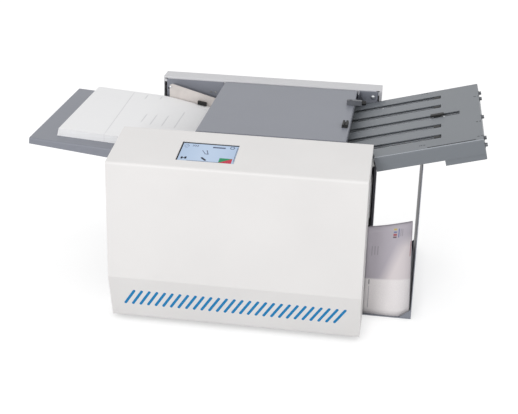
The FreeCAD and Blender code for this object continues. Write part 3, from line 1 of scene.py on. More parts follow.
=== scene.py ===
import math

import bmesh
import bpy
from mathutils import Matrix, Vector

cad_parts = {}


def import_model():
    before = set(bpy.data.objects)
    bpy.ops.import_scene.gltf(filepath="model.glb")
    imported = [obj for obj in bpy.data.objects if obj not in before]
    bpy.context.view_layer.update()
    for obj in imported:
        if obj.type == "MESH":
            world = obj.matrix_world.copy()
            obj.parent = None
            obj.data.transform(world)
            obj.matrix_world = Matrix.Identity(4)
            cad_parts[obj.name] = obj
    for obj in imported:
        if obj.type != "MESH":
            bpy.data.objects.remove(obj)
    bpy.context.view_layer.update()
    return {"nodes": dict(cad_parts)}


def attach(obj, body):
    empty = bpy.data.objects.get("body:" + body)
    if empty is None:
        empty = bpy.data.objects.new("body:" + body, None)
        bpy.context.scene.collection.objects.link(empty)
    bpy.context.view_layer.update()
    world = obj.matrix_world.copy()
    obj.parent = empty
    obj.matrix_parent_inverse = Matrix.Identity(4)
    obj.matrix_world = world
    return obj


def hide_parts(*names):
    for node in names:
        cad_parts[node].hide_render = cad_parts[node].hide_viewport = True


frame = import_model()

# Lengths are in metres and in the frame's axes: X with the paper, Y from front to rear, Z up.

MM = 0.001
ROOT = "machine"

# Camera, fitted to the photograph
CAMERA_PLACE = (0.28919, -2.03583, 1.06515)
CAMERA_YAW = 0.14189
CAMERA_PITCH = 0.37678
CAMERA_ROLL = 0.02465
SENSOR = 36.0
IMAGE_WIDTH = 518
IMAGE_HEIGHT = 414
FOCAL_PIXELS = 1087.2
OPTICAL_ROW = 165.0

# Edges of the front cover's top panel and lower panel, as places along Y and Z
CREASE = (-0.254, 0.336)
PANEL_TOP = (-0.114, 0.358)
LOWER_CREASE = (-0.257, 0.104)
LOWER_EDGE = (-0.230, 0.008)

# Screen picture: places along X, and up the slope from the crease
SCREEN_X = (-0.1231, -0.0169)
SCREEN_SLOPE = (0.0279, 0.0961)
SCREEN_MIDDLE = -0.07
GLASS_DEPTH = 0.0022
SCREEN_SHADOW_WIDTH = 0.0014
KEYPAD_START = (-0.1188, 0.0785)
KEYPAD_PITCH = (0.0026, 0.0036)
KEYPAD_KEY = (0.0013, 0.0016)
CHEVRON_START = -0.1030
CHEVRON_PITCH = 0.0042
CHEVRON_REACH = 0.0024
CHEVRON_HEIGHTS = (0.0900, 0.0872, 0.0845)
CHEVRON_WIDTH = 0.0012
SCREEN_STROKES = [
    ((-0.0817, 0.0712), (-0.0752, 0.0606), 0.0013),
    ((-0.0735, 0.0725), (-0.0695, 0.0600), 0.0016),
    ((-0.0748, 0.0592), (-0.0690, 0.0592), 0.0018),
]
SCREEN_BLOCKS = [
    ((-0.0648, -0.0408), (0.0832, 0.0876)),
    ((-0.1048, -0.0456), (0.0312, 0.0322)),
    ((-0.0190, -0.0181), (0.0370, 0.0900)),
]
DARK_STROKE = ((-0.0780, 0.0444), (-0.0707, 0.0368), 0.0042)
DARK_BLOCKS = [
    ((-0.1168, -0.1131), (0.0364, 0.0437)),
    ((-0.1101, -0.1060), (0.0372, 0.0447)),
    ((-0.1131, -0.1101), (0.0394, 0.0412)),
]
DIAL_CENTRE = (-0.0282, 0.0877)
DIAL_RADII = (0.0040, 0.0048)
DIAL_SIDES = 6
DIAL_WIDTH = 0.0014
START_STOP_KEY = ((-0.0454, -0.0216), (0.0308, 0.0481))

# Stripes on the lower front panel
STRIPE_COUNT = 28
STRIPE_PITCH = 14.95 * MM
STRIPE_START = -0.2205
STRIPE_BOTTOM = 64.8 * MM
STRIPE_TOP = 32.2 * MM
STRIPE_LEAN = 19.6 * MM
STRIPE_WIDTH = 5.3 * MM
DECAL = 0.00012

# The upper fold plate's own frame: U up the plate, W out of its top face
PLATE_ORIGIN = (0.2445, 0.342)
PLATE_ANGLE = math.radians(14.83)
PLATE_Y = (-0.138, 0.210)
PLATE_U = (-0.011, 0.1913)
PLATE_MARGIN = 2.2 * MM
END_BOX_START = 0.116
RIVET_PAIRS = [
    (0.080, -0.117), (0.187, 0.123), (0.186, -0.035), (0.186, -0.118), (0.083, 0.202),
]
RIVET_SPREAD = 2.6 * MM
RIVET_RADIUS = 1.4 * MM
SLIT = ((0.0885, 0.177), (-0.1345, -0.1310))
CORNER_CUT = 1 * MM
BEND_DEPTH = 0.44 * MM
BEND_HALF = 0.45 * MM
END_PAD_Y = (2 * MM, 12 * MM)
END_PAD_W = (-0.040, -0.031)
END_PAD_THICK = 0.2 * MM

# The pan under the plate and the lip at its inner end. The fold stop's bar reaches down to
# 20.0 mm, so the pan's top cuts 0.4 mm into it, and the bar passes through the lip.
PAN_DEPTH = 20.4 * MM
PAN_SHEET = 0.8 * MM
PAN_GAP = 1 * MM
LIP_TOP = -0.008
NECK_START = -0.042
NECK_Y = (-0.105, 0.177)
ROD_GAPS = [(-0.056, -0.044), (0.124, 0.136)]

# Pieces on the body and its covers
REAR_EDGE = ((0.2258, 0.2309), (0.0125, 0.3535))
REAR_COVER_FRONT = 0.2135
REAR_CORNERS = [((-0.2462, -0.2398), (0.3543, 0.3562)), ((0.2195, 0.2262), (0.3562, 0.3581))]
END_PANEL_RIGHT = 0.223
EXIT_BLOCK = ((-0.057, -0.043), (0.148, 0.174))
EXIT_BLOCK_DEPTH = 7.6 * MM
EXIT_BLOCK_CUT = 1.5 * MM
BRACKET_SCREW = (0.213, 0.2055, 0.346)
BRACKET_SCREW_RADIUS = 4.3 * MM
GUIDE_SCREW = (-0.2262, 0.178, 0.3468)
GUIDE_SCREW_RADIUS = 2.4 * MM
SCREW_PROFILE = [(1.0, 0.0), (1.0, 0.14), (0.84, 0.30), (0.5, 0.42), (0.16, 0.46)]
GUSSET = [(0.184, 0.331), (0.199, 0.331), (0.184, 0.3565)]
GUSSET_Y = 0.198
GUSSET_SHEET = 1.5 * MM

# Faint print on the loaded sheets: one long leaning line, then shorter ones, each with its
# place along X, and first and last place along Y
LONG_LINE = (-0.3011, -0.3001)
LONG_LINE_Y = (-0.086, 0.172)
LONG_LINE_LEAN = 0.036
PRINT_HALF = 0.0008
PRINT_SOFT = 0.0012
PAPER_PRINT = [
    (-0.2476, 0.003, 0.053),
    (-0.2280, -0.002, 0.060),
    (-0.2058, 0.007, 0.071),
    (-0.1812, 0.014, 0.116),
    (-0.2752, 0.146, 0.172),
    (-0.2444, 0.158, 0.174),
]

# Tones of the folded sheets: where the plain lower part turns into grey print darkened by
# painted shadow, and the spans over which the painted shadow fades into a paler patch
PRINT_AND_SHADOW_FOOT_Z = (0.079, 0.083)
SHADOW_FADE_X = (0.222, 0.246)
SHADOW_FADE_Z = (0.178, 0.150)
SHADOW_FADE_LEAN = 0.4

# Print on the folded sheets: a colour, and spans along X and Z
FOLDED_PRINT = [
    ((206, 184, 96), [((0.2806, 0.2866), (0.1862, 0.1898))]),
    ((84, 104, 160), [((0.2806, 0.2866), (0.1810, 0.1835)), ((0.2896, 0.2912), (0.1710, 0.1895))]),
    ((172, 84, 92), [((0.2800, 0.2866), (0.1745, 0.1788)), ((0.3142, 0.3152), (0.1295, 0.1610))]),
    ((82, 42, 56), [((0.2798, 0.2864), (0.1702, 0.1728))]),
    ((132, 128, 136), [
        ((0.2410, 0.2418), (0.1320, 0.1530)),
        ((0.2466, 0.2474), (0.1340, 0.1530)),
        ((0.2522, 0.2530), (0.1340, 0.1530)),
        ((0.2938, 0.2944), (0.1735, 0.1890)),
        ((0.2970, 0.2976), (0.1735, 0.1890)),
    ]),
    ((150, 146, 158), [((0.2392, 0.2400), (0.0150, 0.0650))]),
    ((96, 92, 102), [((0.2385, 0.2402), (0.0680, 0.0790))]),
]

# The folded sheets' front face, left to right, at the bottom and the top
FOLDED_LOW = [(0.2298, -0.1205), (0.262, -0.1229), (0.296, -0.1229), (0.3222, -0.1127)]
FOLDED_HIGH = [(0.2302, -0.1326), (0.264, -0.1248), (0.291, -0.1165), (0.3150, -0.1080)]
FOLDED_BOTTOM_Z = 0.0018
FOLDED_TOP_Z = (0.1925, 0.2014)
FOLDED_COUNT = 7
FOLDED_PITCH = 1.2 * MM
FOLDED_SHEET = 0.75 * MM
FOLDED_GRID = (20, 14)
TRIM_SIZE = 0.0016
TRIM_STEP = 2.3
REACH_LOSS = 0.012
REACH_STEP = 1.7

# Studio: each lamp's place, aim, size and power, then the world and the floor
FRONT_LAMP = ((-0.60, -3.36, 0.98), (0, 0, 0.2), (0.8, 0.7), 30)
TOP_LAMP = ((-0.1, -1.3, 1.7), (0, -0.1, 0.3), (1.0, 0.8), 3)
WORLD_STRENGTH = 0.74
FLOOR_SIZE = 12.0
FLOOR_Z = -0.0005
FLOOR_GLOW = 2.4
GLOW_SHARE = 0.2
CONTACT_SHADOW_REACH = 0.03


def linear(red, green, blue):
    """Scene colour of an 8-bit display colour."""
    def channel(value):
        value = value / 255
        return value / 12.92 if value <= 0.04045 else ((value + 0.055) / 1.055) ** 2.4
    return (channel(red), channel(green), channel(blue), 1.0)


def shaded(colour, factor):
    return tuple(channel * factor for channel in colour[:3]) + (1.0,)


# Materials

class Look:
    """A Principled material and the few nodes that its surface detail needs."""

    def __init__(self, name, roughness, metallic=0.0):
        self.material = bpy.data.materials.new(name)
        self.material.use_nodes = True
        self.nodes = self.material.node_tree.nodes
        self.links = self.material.node_tree.links
        self.shader = self.nodes["Principled BSDF"]
        self.shader.inputs["Roughness"].default_value = roughness
        self.shader.inputs["Metallic"].default_value = metallic
        self.place = self.nodes.new("ShaderNodeTexCoord").outputs["Object"]
        self.height = None

    def stretched(self, scale):
        mapping = self.nodes.new("ShaderNodeMapping")
        mapping.inputs["Scale"].default_value = scale
        self.links.new(self.place, mapping.inputs["Vector"])
        return mapping.outputs["Vector"]

    def noise(self, scale, detail=2.0, stretch=None):
        node = self.nodes.new("ShaderNodeTexNoise")
        node.inputs["Scale"].default_value = scale
        node.inputs["Detail"].default_value = detail
        place = self.stretched(stretch) if stretch else self.place
        self.links.new(place, node.inputs["Vector"])
        return node.outputs["Fac"]

    def colours(self, factor, dark, light, low=0.35, high=0.65):
        ramp = self.nodes.new("ShaderNodeValToRGB")
        ramp.color_ramp.elements[0].position = low
        ramp.color_ramp.elements[0].color = dark
        ramp.color_ramp.elements[1].position = high
        ramp.color_ramp.elements[1].color = light
        self.links.new(factor, ramp.inputs["Fac"])
        return ramp.outputs["Color"]

    def mixed(self, factor, first, second):
        mix = self.nodes.new("ShaderNodeMix")
        mix.data_type = "RGBA"
        self.links.new(factor, mix.inputs["Factor"])
        for socket, value in (("A", first), ("B", second)):
            target = [s for s in mix.inputs if s.name == socket and s.type == "RGBA"][0]
            if isinstance(value, tuple):
                target.default_value = value
            else:
                self.links.new(value, target)
        return [s for s in mix.outputs if s.type == "RGBA"][0]

    def paint(self, colour):
        self.links.new(colour, self.shader.inputs["Base Color"])

    def rough(self, factor, low, high):
        spread = self.nodes.new("ShaderNodeMapRange")
        spread.inputs["To Min"].default_value = low
        spread.inputs["To Max"].default_value = high
        self.links.new(factor, spread.inputs["Value"])
        self.links.new(spread.outputs["Result"], self.shader.inputs["Roughness"])

    def bump(self, factor, depth, strength=1.0):
        node = self.nodes.new("ShaderNodeBump")
        node.inputs["Distance"].default_value = depth
        node.inputs["Strength"].default_value = strength
        self.links.new(factor, node.inputs["Height"])
        if self.height is not None:
            self.links.new(self.height, node.inputs["Normal"])
        self.height = node.outputs["Normal"]
        self.links.new(self.height, self.shader.inputs["Normal"])

    def axis(self, name):
        split = self.nodes.new("ShaderNodeSeparateXYZ")
        self.links.new(self.place, split.inputs["Vector"])
        return split.outputs[name]

    def between(self, value, low, high, soft=0.0004):
        """1 where a value is between two limits, else 0, with a soft edge."""
        middle = (low + high) / 2
        half = (high - low) / 2
        away = self.maths("ABSOLUTE", self.maths("SUBTRACT", value, middle))
        return self.rise(away, half + soft, half - soft)

    def rise(self, value, start, end):
        """0 at one value and 1 at another, and straight between them."""
        spread = self.nodes.new("ShaderNodeMapRange")
        spread.inputs["From Min"].default_value = start
        spread.inputs["From Max"].default_value = end
        self.links.new(value, spread.inputs["Value"])
        return spread.outputs["Result"]

    def any_of(self, masks):
        total = masks[0]
        for mask in masks[1:]:
            total = self.maths("MAXIMUM", total, mask)
        return total

    def maths(self, operation, first, second=0.0):
        node = self.nodes.new("ShaderNodeMath")
        node.operation = operation
        for index, value in enumerate((first, second)):
            if isinstance(value, (int, float)):
                node.inputs[index].default_value = value
            else:
                self.links.new(value, node.inputs[index])
        return node.outputs["Value"]


def powder_coat(name, colour, roughness, grain, depth):
    """Textured paint: a fine orange-peel skin and a faint drift of tone."""
    look = Look(name, roughness)
    drift = look.noise(7.0, 3.0)
    look.paint(look.colours(drift, shaded(colour, 0.965), colour, 0.3, 0.7))
    skin = look.noise(grain, 2.0)
    look.rough(skin, roughness - 0.05, roughness + 0.07)
    look.bump(skin, depth, 0.5)
    return look.material


def brushed_metal(name, colour, roughness, along):
    """Metal with fine lines along one axis."""
    look = Look(name, roughness, 1.0)
    stretch = {"X": (25, 900, 900), "Y": (900, 25, 900), "Z": (900, 900, 25)}[along]
    lines = look.noise(1.0, 3.0, stretch)
    look.paint(look.colours(lines, shaded(colour, 0.8), colour))
    look.rough(lines, roughness - 0.06, roughness + 0.1)
    look.bump(lines, 0.00004, 0.4)
    return look.material


def moulded_plastic(name, colour, roughness):
    look = Look(name, roughness)
    grain = look.noise(1400.0, 2.0)
    drift = look.noise(30.0, 2.0)
    look.paint(look.colours(drift, shaded(colour, 0.88), colour))
    look.rough(grain, roughness - 0.08, roughness + 0.08)
    look.bump(grain, 0.00006, 0.5)
    return look.material


def rubber(name, colour):
    look = Look(name, 0.75)
    grain = look.noise(1100.0, 3.0)
    look.paint(look.colours(grain, shaded(colour, 0.7), colour))
    look.bump(grain, 0.00008, 0.6)
    return look.material


def printed_board(name):
    look = Look(name, 0.35)
    tracks = look.noise(260.0, 1.0, (1, 1, 3))
    look.paint(look.colours(tracks, linear(18, 70, 38), linear(40, 120, 66), 0.46, 0.5))
    look.bump(tracks, 0.00005, 0.3)
    return look.material


def sheet_layers(look, colour, sheet_pitch, depth):
    """Paper whose cut edges show thin layers, one above the other."""
    wave = look.noise(1.0, 1.0, (12, 12, 1 / sheet_pitch))
    upright = look.nodes.new("ShaderNodeSeparateXYZ")
    normal = look.nodes.new("ShaderNodeTexCoord").outputs["Normal"]
    look.links.new(normal, upright.inputs["Vector"])
    flat = look.maths("ABSOLUTE", upright.outputs["Z"])
    side = look.maths("SUBTRACT", 1.0, flat)
    layers = look.maths("MULTIPLY", wave, side)
    fibres = look.noise(900.0, 3.0)
    tone = look.colours(layers, colour, shaded(colour, 0.86), 0.3, 0.75)
    look.bump(layers, depth, 0.5)
    look.bump(fibres, 0.00003, 0.3)
    return look.mixed(look.maths("MULTIPLY", fibres, 0.06), tone, shaded(colour, 0.8))


def loaded_sheets(name):
    """The stack in the feed tray: pale paper with faint print showing through."""
    look = Look(name, 0.8)
    tone = sheet_layers(look, linear(251, 251, 252), 0.0005, 0.0003)
    x = look.axis("X")
    y = look.axis("Y")
    leaning = look.maths("ADD", x, look.maths("MULTIPLY", y, LONG_LINE_LEAN))
    lines = [look.maths(
        "MULTIPLY",
        look.between(leaning, *LONG_LINE, PRINT_SOFT),
        look.between(y, *LONG_LINE_Y, 0.03),
    )]
    for place, first, last in PAPER_PRINT:
        across = look.between(x, place - PRINT_HALF, place + PRINT_HALF, PRINT_SOFT)
        lines.append(look.maths("MULTIPLY", across, look.between(y, first, last, 0.006)))
    faint = look.maths("MULTIPLY", look.any_of(lines), 0.5)
    look.paint(look.mixed(faint, tone, linear(168, 168, 172)))
    return look.material


def folded_paper(name):
    """A folded sheet: grey print and painted shadow on its upper part, fading to a paler patch
    towards the lower right, pale below the fold, and a few marks.
    """
    look = Look(name, 0.75)
    fibres = look.noise(700.0, 3.0)
    tone = look.colours(fibres, linear(243, 238, 239), linear(250, 246, 246))
    look.bump(fibres, 0.00003, 0.3)
    x = look.axis("X")
    z = look.axis("Z")
    # Painted shadow: the upper tone is darker to the upper left and fades to a paler patch along a
    # soft diagonal edge.
    across = look.maths("SUBTRACT", x, look.maths("MULTIPLY", z, SHADOW_FADE_LEAN))
    pale = look.maths(
        "MULTIPLY",
        look.rise(across, *SHADOW_FADE_X),
        look.rise(z, *SHADOW_FADE_Z),
    )
    upper = look.mixed(pale, linear(194, 188, 197), linear(232, 224, 226))
    tone = look.mixed(look.rise(z, *PRINT_AND_SHADOW_FOOT_Z), tone, upper)
    for colour, spots in FOLDED_PRINT:
        masks = []
        for x_span, z_span in spots:
            masks.append(look.maths(
                "MULTIPLY", look.between(x, *x_span, 0.0007), look.between(z, *z_span, 0.0010)
            ))
        tone = look.mixed(look.any_of(masks), tone, linear(*colour))
    look.paint(tone)
    return look.material


def lit_screen(name):
    """Light blue display under a smooth glass face, a little brighter in the middle."""
    look = Look(name, 0.12)
    across = look.maths("SUBTRACT", look.axis("X"), SCREEN_MIDDLE)
    away = look.maths("ABSOLUTE", across)
    fall = look.maths("MULTIPLY", away, 9.0)
    dust = look.noise(60.0, 2.0)
    tone = look.colours(fall, linear(180, 199, 224), linear(164, 186, 214), 0.1, 0.6)
    look.paint(look.mixed(look.maths("MULTIPLY", dust, 0.05), tone, linear(225, 235, 250)))
    look.rough(dust, 0.10, 0.16)
    look.shader.inputs["Emission Color"].default_value = linear(185, 208, 236)
    look.shader.inputs["Emission Strength"].default_value = 0.1
    return look.material


def ink_and_painted_light(name, colour, roughness=0.45):
    """Ink, a backlit mark, painted shade or a painted highlight: a faint mottle keeps it
    from being one flat colour.
    """
    look = Look(name, roughness)
    look.shader.inputs["Specular IOR Level"].default_value = 0.2
    mottle = look.noise(500.0, 2.0)
    look.paint(look.colours(mottle, shaded(colour, 0.86), colour))
    return look.material


WHITE = powder_coat("white powder coat", linear(236, 234, 233), 0.42, 1500.0, 0.00005)
GREY = powder_coat("grey powder coat", linear(136, 139, 149), 0.40, 1300.0, 0.00006)
PLATE_GREY = powder_coat("plate grey powder coat", linear(119, 124, 130), 0.40, 1300.0, 0.00006)
LEVER_GREY = powder_coat("lever grey powder coat", linear(98, 100, 106), 0.40, 1300.0, 0.00006)
DARK = powder_coat("dark powder coat", linear(54, 54, 58), 0.5, 1200.0, 0.00006)
STEEL = brushed_metal("zinc plated steel", linear(172, 173, 172), 0.34, "X")
SHAFT = brushed_metal("ground steel", linear(196, 196, 196), 0.22, "Y")
ALUMINIUM = brushed_metal("turned aluminium", linear(188, 190, 193), 0.3, "Z")
BRONZE = brushed_metal("bearing bronze", linear(164, 130, 84), 0.35, "Y")
RUBBER = rubber("rubber", linear(38, 38, 40))
BLACK = moulded_plastic("black plastic", linear(11, 11, 12), 0.6)
FASTENER = brushed_metal("dark zinc", linear(112, 114, 118), 0.4, "Y")
# The front cover's white paint made darker: painted shade on the rear cover.
REAR_SHADED_WHITE = powder_coat("rear white powder coat with painted shade", linear(214, 214, 217), 0.42, 1500.0, 0.00005)
EDGE_GREY = powder_coat("edge grey powder coat", linear(196, 196, 200), 0.5, 1200.0, 0.00006)
# The plate's grey made paler: painted light on the inner sheet, so the slots look lit inside.
SLOT_LIT_GREY = powder_coat("inner sheet grey with painted light", linear(168, 172, 178), 0.40, 1300.0, 0.00006)
ZINC = powder_coat("pale zinc coat", linear(214, 216, 220), 0.5, 1200.0, 0.00006)
# Dark grey paint on the right end panel, kept dark partly as painted shade for the strip between
# the covers.
PANEL_GREY_AND_SHADE = powder_coat("end panel dark grey with painted shade", linear(92, 92, 98), 0.5, 1200.0, 0.00006)
PALE_PLASTIC = moulded_plastic("pale plastic", linear(220, 213, 209), 0.38)
GEAR_PLASTIC = moulded_plastic("gear plastic", linear(214, 210, 196), 0.45)
BOARD = printed_board("circuit board")
PAPER = loaded_sheets("loaded sheets")
FOLDED = folded_paper("folded sheets")
SCREEN = lit_screen("display")
STRIPE_BLUE = ink_and_painted_light("stripe blue", linear(16, 134, 196), 0.4)

NODE_LOOKS = {
    "base_pan": DARK,
    "rubber_feet": RUBBER,
    "front_frame": STEEL,
    "rear_frame": GREY,
    "tie_bars": SHAFT,
    "left_end_panel": DARK,
    "right_end_panel": PANEL_GREY_AND_SHADE,
    "front_cover": WHITE,
    "rear_cover": REAR_SHADED_WHITE,
    "screen_bezel": BLACK,
    "screen_glass": SCREEN,
    "control_board": BOARD,
    "power_supply": STEEL,
    "drive_motor": ALUMINIUM,
    "power_inlet": BLACK,
    "power_rocker": BLACK,
    "feed_tray": GREY,
    "support_rails": STEEL,
    "paper_stack": PAPER,
    "rear_side_guide": PALE_PLASTIC,
    "front_side_guide": PALE_PLASTIC,
    "guide_tab": BLACK,
    "separator_arm": STEEL,
    "separator_pad": RUBBER,
    "sheet_guides": STEEL,
    "roller_bearings": BRONZE,
    "drive_belts": RUBBER,
    "feed_shaft": SHAFT,
    "feed_tyres": RUBBER,
    "drive_pulley": ALUMINIUM,
    "idler_gear": GEAR_PLASTIC,
    "press_roller_upper": SHAFT,
    "press_roller_lower": SHAFT,
    "motor_pulley": ALUMINIUM,
    "lower_fold_plate": STEEL,
    "lower_fold_stop": ALUMINIUM,
    "top_cover": GREY,
    "hinge_brackets": STEEL,
    "cover_latch": BLACK,
    "cover_lever": LEVER_GREY,
    "lever_knob": BLACK,
    "plate_top_sheet": PLATE_GREY,
    "plate_bottom_sheet": SLOT_LIT_GREY,
    "plate_end_box": PLATE_GREY,
    "plate_fasteners": FASTENER,
    "plate_brackets": GREY,
    "stop_rods": SHAFT,
    "fold_stop": BLACK,
    "frame_screws": STEEL,
    "catch_tray": GREY,
}
for number in range(1, 5):
    NODE_LOOKS["fold_roller_%d" % number] = RUBBER
    NODE_LOOKS["roller_gear_%d" % number] = GEAR_PLASTIC


def dress_nodes():
    for name, look in NODE_LOOKS.items():
        slots = frame["nodes"][name].data.materials
        slots.clear()
        slots.append(look)


# Decals: thin flat pieces laid on a panel

def add_piece(name, mesh_maker, look, body=ROOT):
    mesh = bpy.data.meshes.new(name)
    shape = bmesh.new()
    mesh_maker(shape)
    shape.to_mesh(mesh)
    shape.free()
    mesh.materials.append(look)
    piece = bpy.data.objects.new(name, mesh)
    bpy.context.scene.collection.objects.link(piece)
    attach(piece, body)
    return piece


def plate(shape, corners, placed, thickness=DECAL):
    """A thin slab over flat (a, b) corners; placed(a, b, rise) gives the point in space."""
    top = [shape.verts.new(placed(a, b, thickness)) for a, b in corners]
    bottom = [shape.verts.new(placed(a, b, 0.0)) for a, b in corners]
    shape.faces.new(top)
    shape.faces.new(list(reversed(bottom)))
    count = len(corners)
    for index in range(count):
        after = (index + 1) % count
        shape.faces.new([bottom[index], bottom[after], top[after], top[index]])


def rounded_bar(start, end, width, steps=6):
    """Outline of a bar with round ends between two flat points."""
    along = math.atan2(end[1] - start[1], end[0] - start[0])
    points = []
    for centre, first in ((end, along - math.pi / 2), (start, along + math.pi / 2)):
        for step in range(steps + 1):
            angle = first + math.pi * step / steps
            points.append((
                centre[0] + width / 2 * math.cos(angle),
                centre[1] + width / 2 * math.sin(angle),
            ))
    return points


def rectangle(x, y):
    return [(x[0], y[0]), (x[1], y[0]), (x[1], y[1]), (x[0], y[1])]


def on_panel(first, last, sunk=0.0):
    """Places flat (x, distance from the first edge) on a panel that spans X."""
    run = Vector((0, last[0] - first[0], last[1] - first[1])).normalized()
    outward = Vector((1, 0, 0)).cross(run)

    def placed(x, distance, rise):
        base = Vector((x, first[0], first[1]))
        return base + run * distance + outward * (rise - sunk)
    return placed


def stripes():
    placed = on_panel(LOWER_EDGE, LOWER_CREASE)
    height = math.dist(LOWER_EDGE, LOWER_CREASE)

    def make(shape):
        for index in range(STRIPE_COUNT):
            x = STRIPE_START + STRIPE_PITCH * index
            bottom = (x, height - STRIPE_BOTTOM)
            top = (x + STRIPE_LEAN, height - STRIPE_TOP)
            plate(shape, rounded_bar(bottom, top, STRIPE_WIDTH), placed)
    add_piece("stripes", make, STRIPE_BLUE)


def screen_picture():
    """Generic marks of a touch panel: a keypad, chevrons, a caption, a dial, an arrow and a
    split start and stop key, with a painted shadow along the top and left edges of the recess."""
    placed = on_panel(CREASE, PANEL_TOP, GLASS_DEPTH)
    mark_look = ink_and_painted_light("screen ink", linear(84, 94, 124), 0.2)
    black = ink_and_painted_light("screen black", linear(34, 40, 58), 0.2)
    green = ink_and_painted_light("screen green", linear(26, 150, 98), 0.2)
    red = ink_and_painted_light("screen red", linear(206, 52, 78), 0.2)
    recess_shadow_look = ink_and_painted_light("screen border", linear(26, 28, 34), 0.2)

    def faint_marks(shape):
        for column in range(4):
            for row in range(4):
                if (column + row) % 3:
                    x = KEYPAD_START[0] + KEYPAD_PITCH[0] * column
                    y = KEYPAD_START[1] + KEYPAD_PITCH[1] * row
                    key = rectangle((x, x + KEYPAD_KEY[0]), (y, y + KEYPAD_KEY[1]))
                    plate(shape, key, placed)
        high, middle, low = CHEVRON_HEIGHTS
        for index in range(3):
            x = CHEVRON_START + CHEVRON_PITCH * index
            tip = (x + CHEVRON_REACH, middle)
            plate(shape, rounded_bar((x, high), tip, CHEVRON_WIDTH), placed)
            plate(shape, rounded_bar(tip, (x, low), CHEVRON_WIDTH), placed)
        for stroke in SCREEN_STROKES:
            plate(shape, rounded_bar(*stroke), placed)
        for block in SCREEN_BLOCKS:
            plate(shape, rectangle(*block), placed)

    def dial(shape):
        corners = []
        for index in range(DIAL_SIDES + 1):
            angle = 2 * math.pi * index / DIAL_SIDES
            corners.append((
                DIAL_CENTRE[0] + DIAL_RADII[0] * math.cos(angle),
                DIAL_CENTRE[1] + DIAL_RADII[1] * math.sin(angle),
            ))
        for start, end in zip(corners, corners[1:]):
            plate(shape, rounded_bar(start, end, DIAL_WIDTH), placed)

    def dark_marks(shape):
        plate(shape, rounded_bar(*DARK_STROKE), placed)
        for block in DARK_BLOCKS:
            plate(shape, rectangle(*block), placed)

    # Painted shadow: dark strips along the top and left edges of the glass, where the recess wall
    # shades it.
    def recess_shadow(shape):
        x = SCREEN_X
        y = SCREEN_SLOPE
        plate(shape, rectangle((x[0], x[1]), (y[1] - SCREEN_SHADOW_WIDTH, y[1])), placed)
        plate(shape, rectangle((x[0], x[0] + SCREEN_SHADOW_WIDTH), (y[0], y[1] - SCREEN_SHADOW_WIDTH)), placed)

    key_x, key_y = START_STOP_KEY
    split = [(key_x[0], key_y[0]), (key_x[1], key_y[1])]
    upper = split + [(key_x[0], key_y[1])]
    lower = [split[0], (key_x[1], key_y[0]), split[1]]
    add_piece("screen_marks", faint_marks, mark_look)
    add_piece("screen_dial", dial, mark_look)
    add_piece("screen_icons", dark_marks, black)
    add_piece("screen_recess_shadow", recess_shadow, recess_shadow_look)
    add_piece("start_key", lambda shape: plate(shape, upper, placed), green)
    add_piece("stop_key", lambda shape: plate(shape, lower, placed), red)


# Small pieces on the upper fold plate

def on_plate(u, y, w):
    along = math.cos(PLATE_ANGLE)
    rise = math.sin(PLATE_ANGLE)
    return Vector((
        PLATE_ORIGIN[0] + u * along - w * rise,
        y,
        PLATE_ORIGIN[1] + u * rise + w * along,
    ))


def disc(centre, radius, steps=12):
    points = []
    for step in range(steps):
        angle = 2 * math.pi * step / steps
        points.append((centre[0] + radius * math.cos(angle), centre[1] + radius * math.sin(angle)))
    return points


def chamfered(a, b, cut):
    return [
        (a[0] + cut, b[0]), (a[1] - cut, b[0]), (a[1], b[0] + cut), (a[1], b[1] - cut),
        (a[1] - cut, b[1]), (a[0] + cut, b[1]), (a[0], b[1] - cut), (a[0], b[0] + cut),
    ]


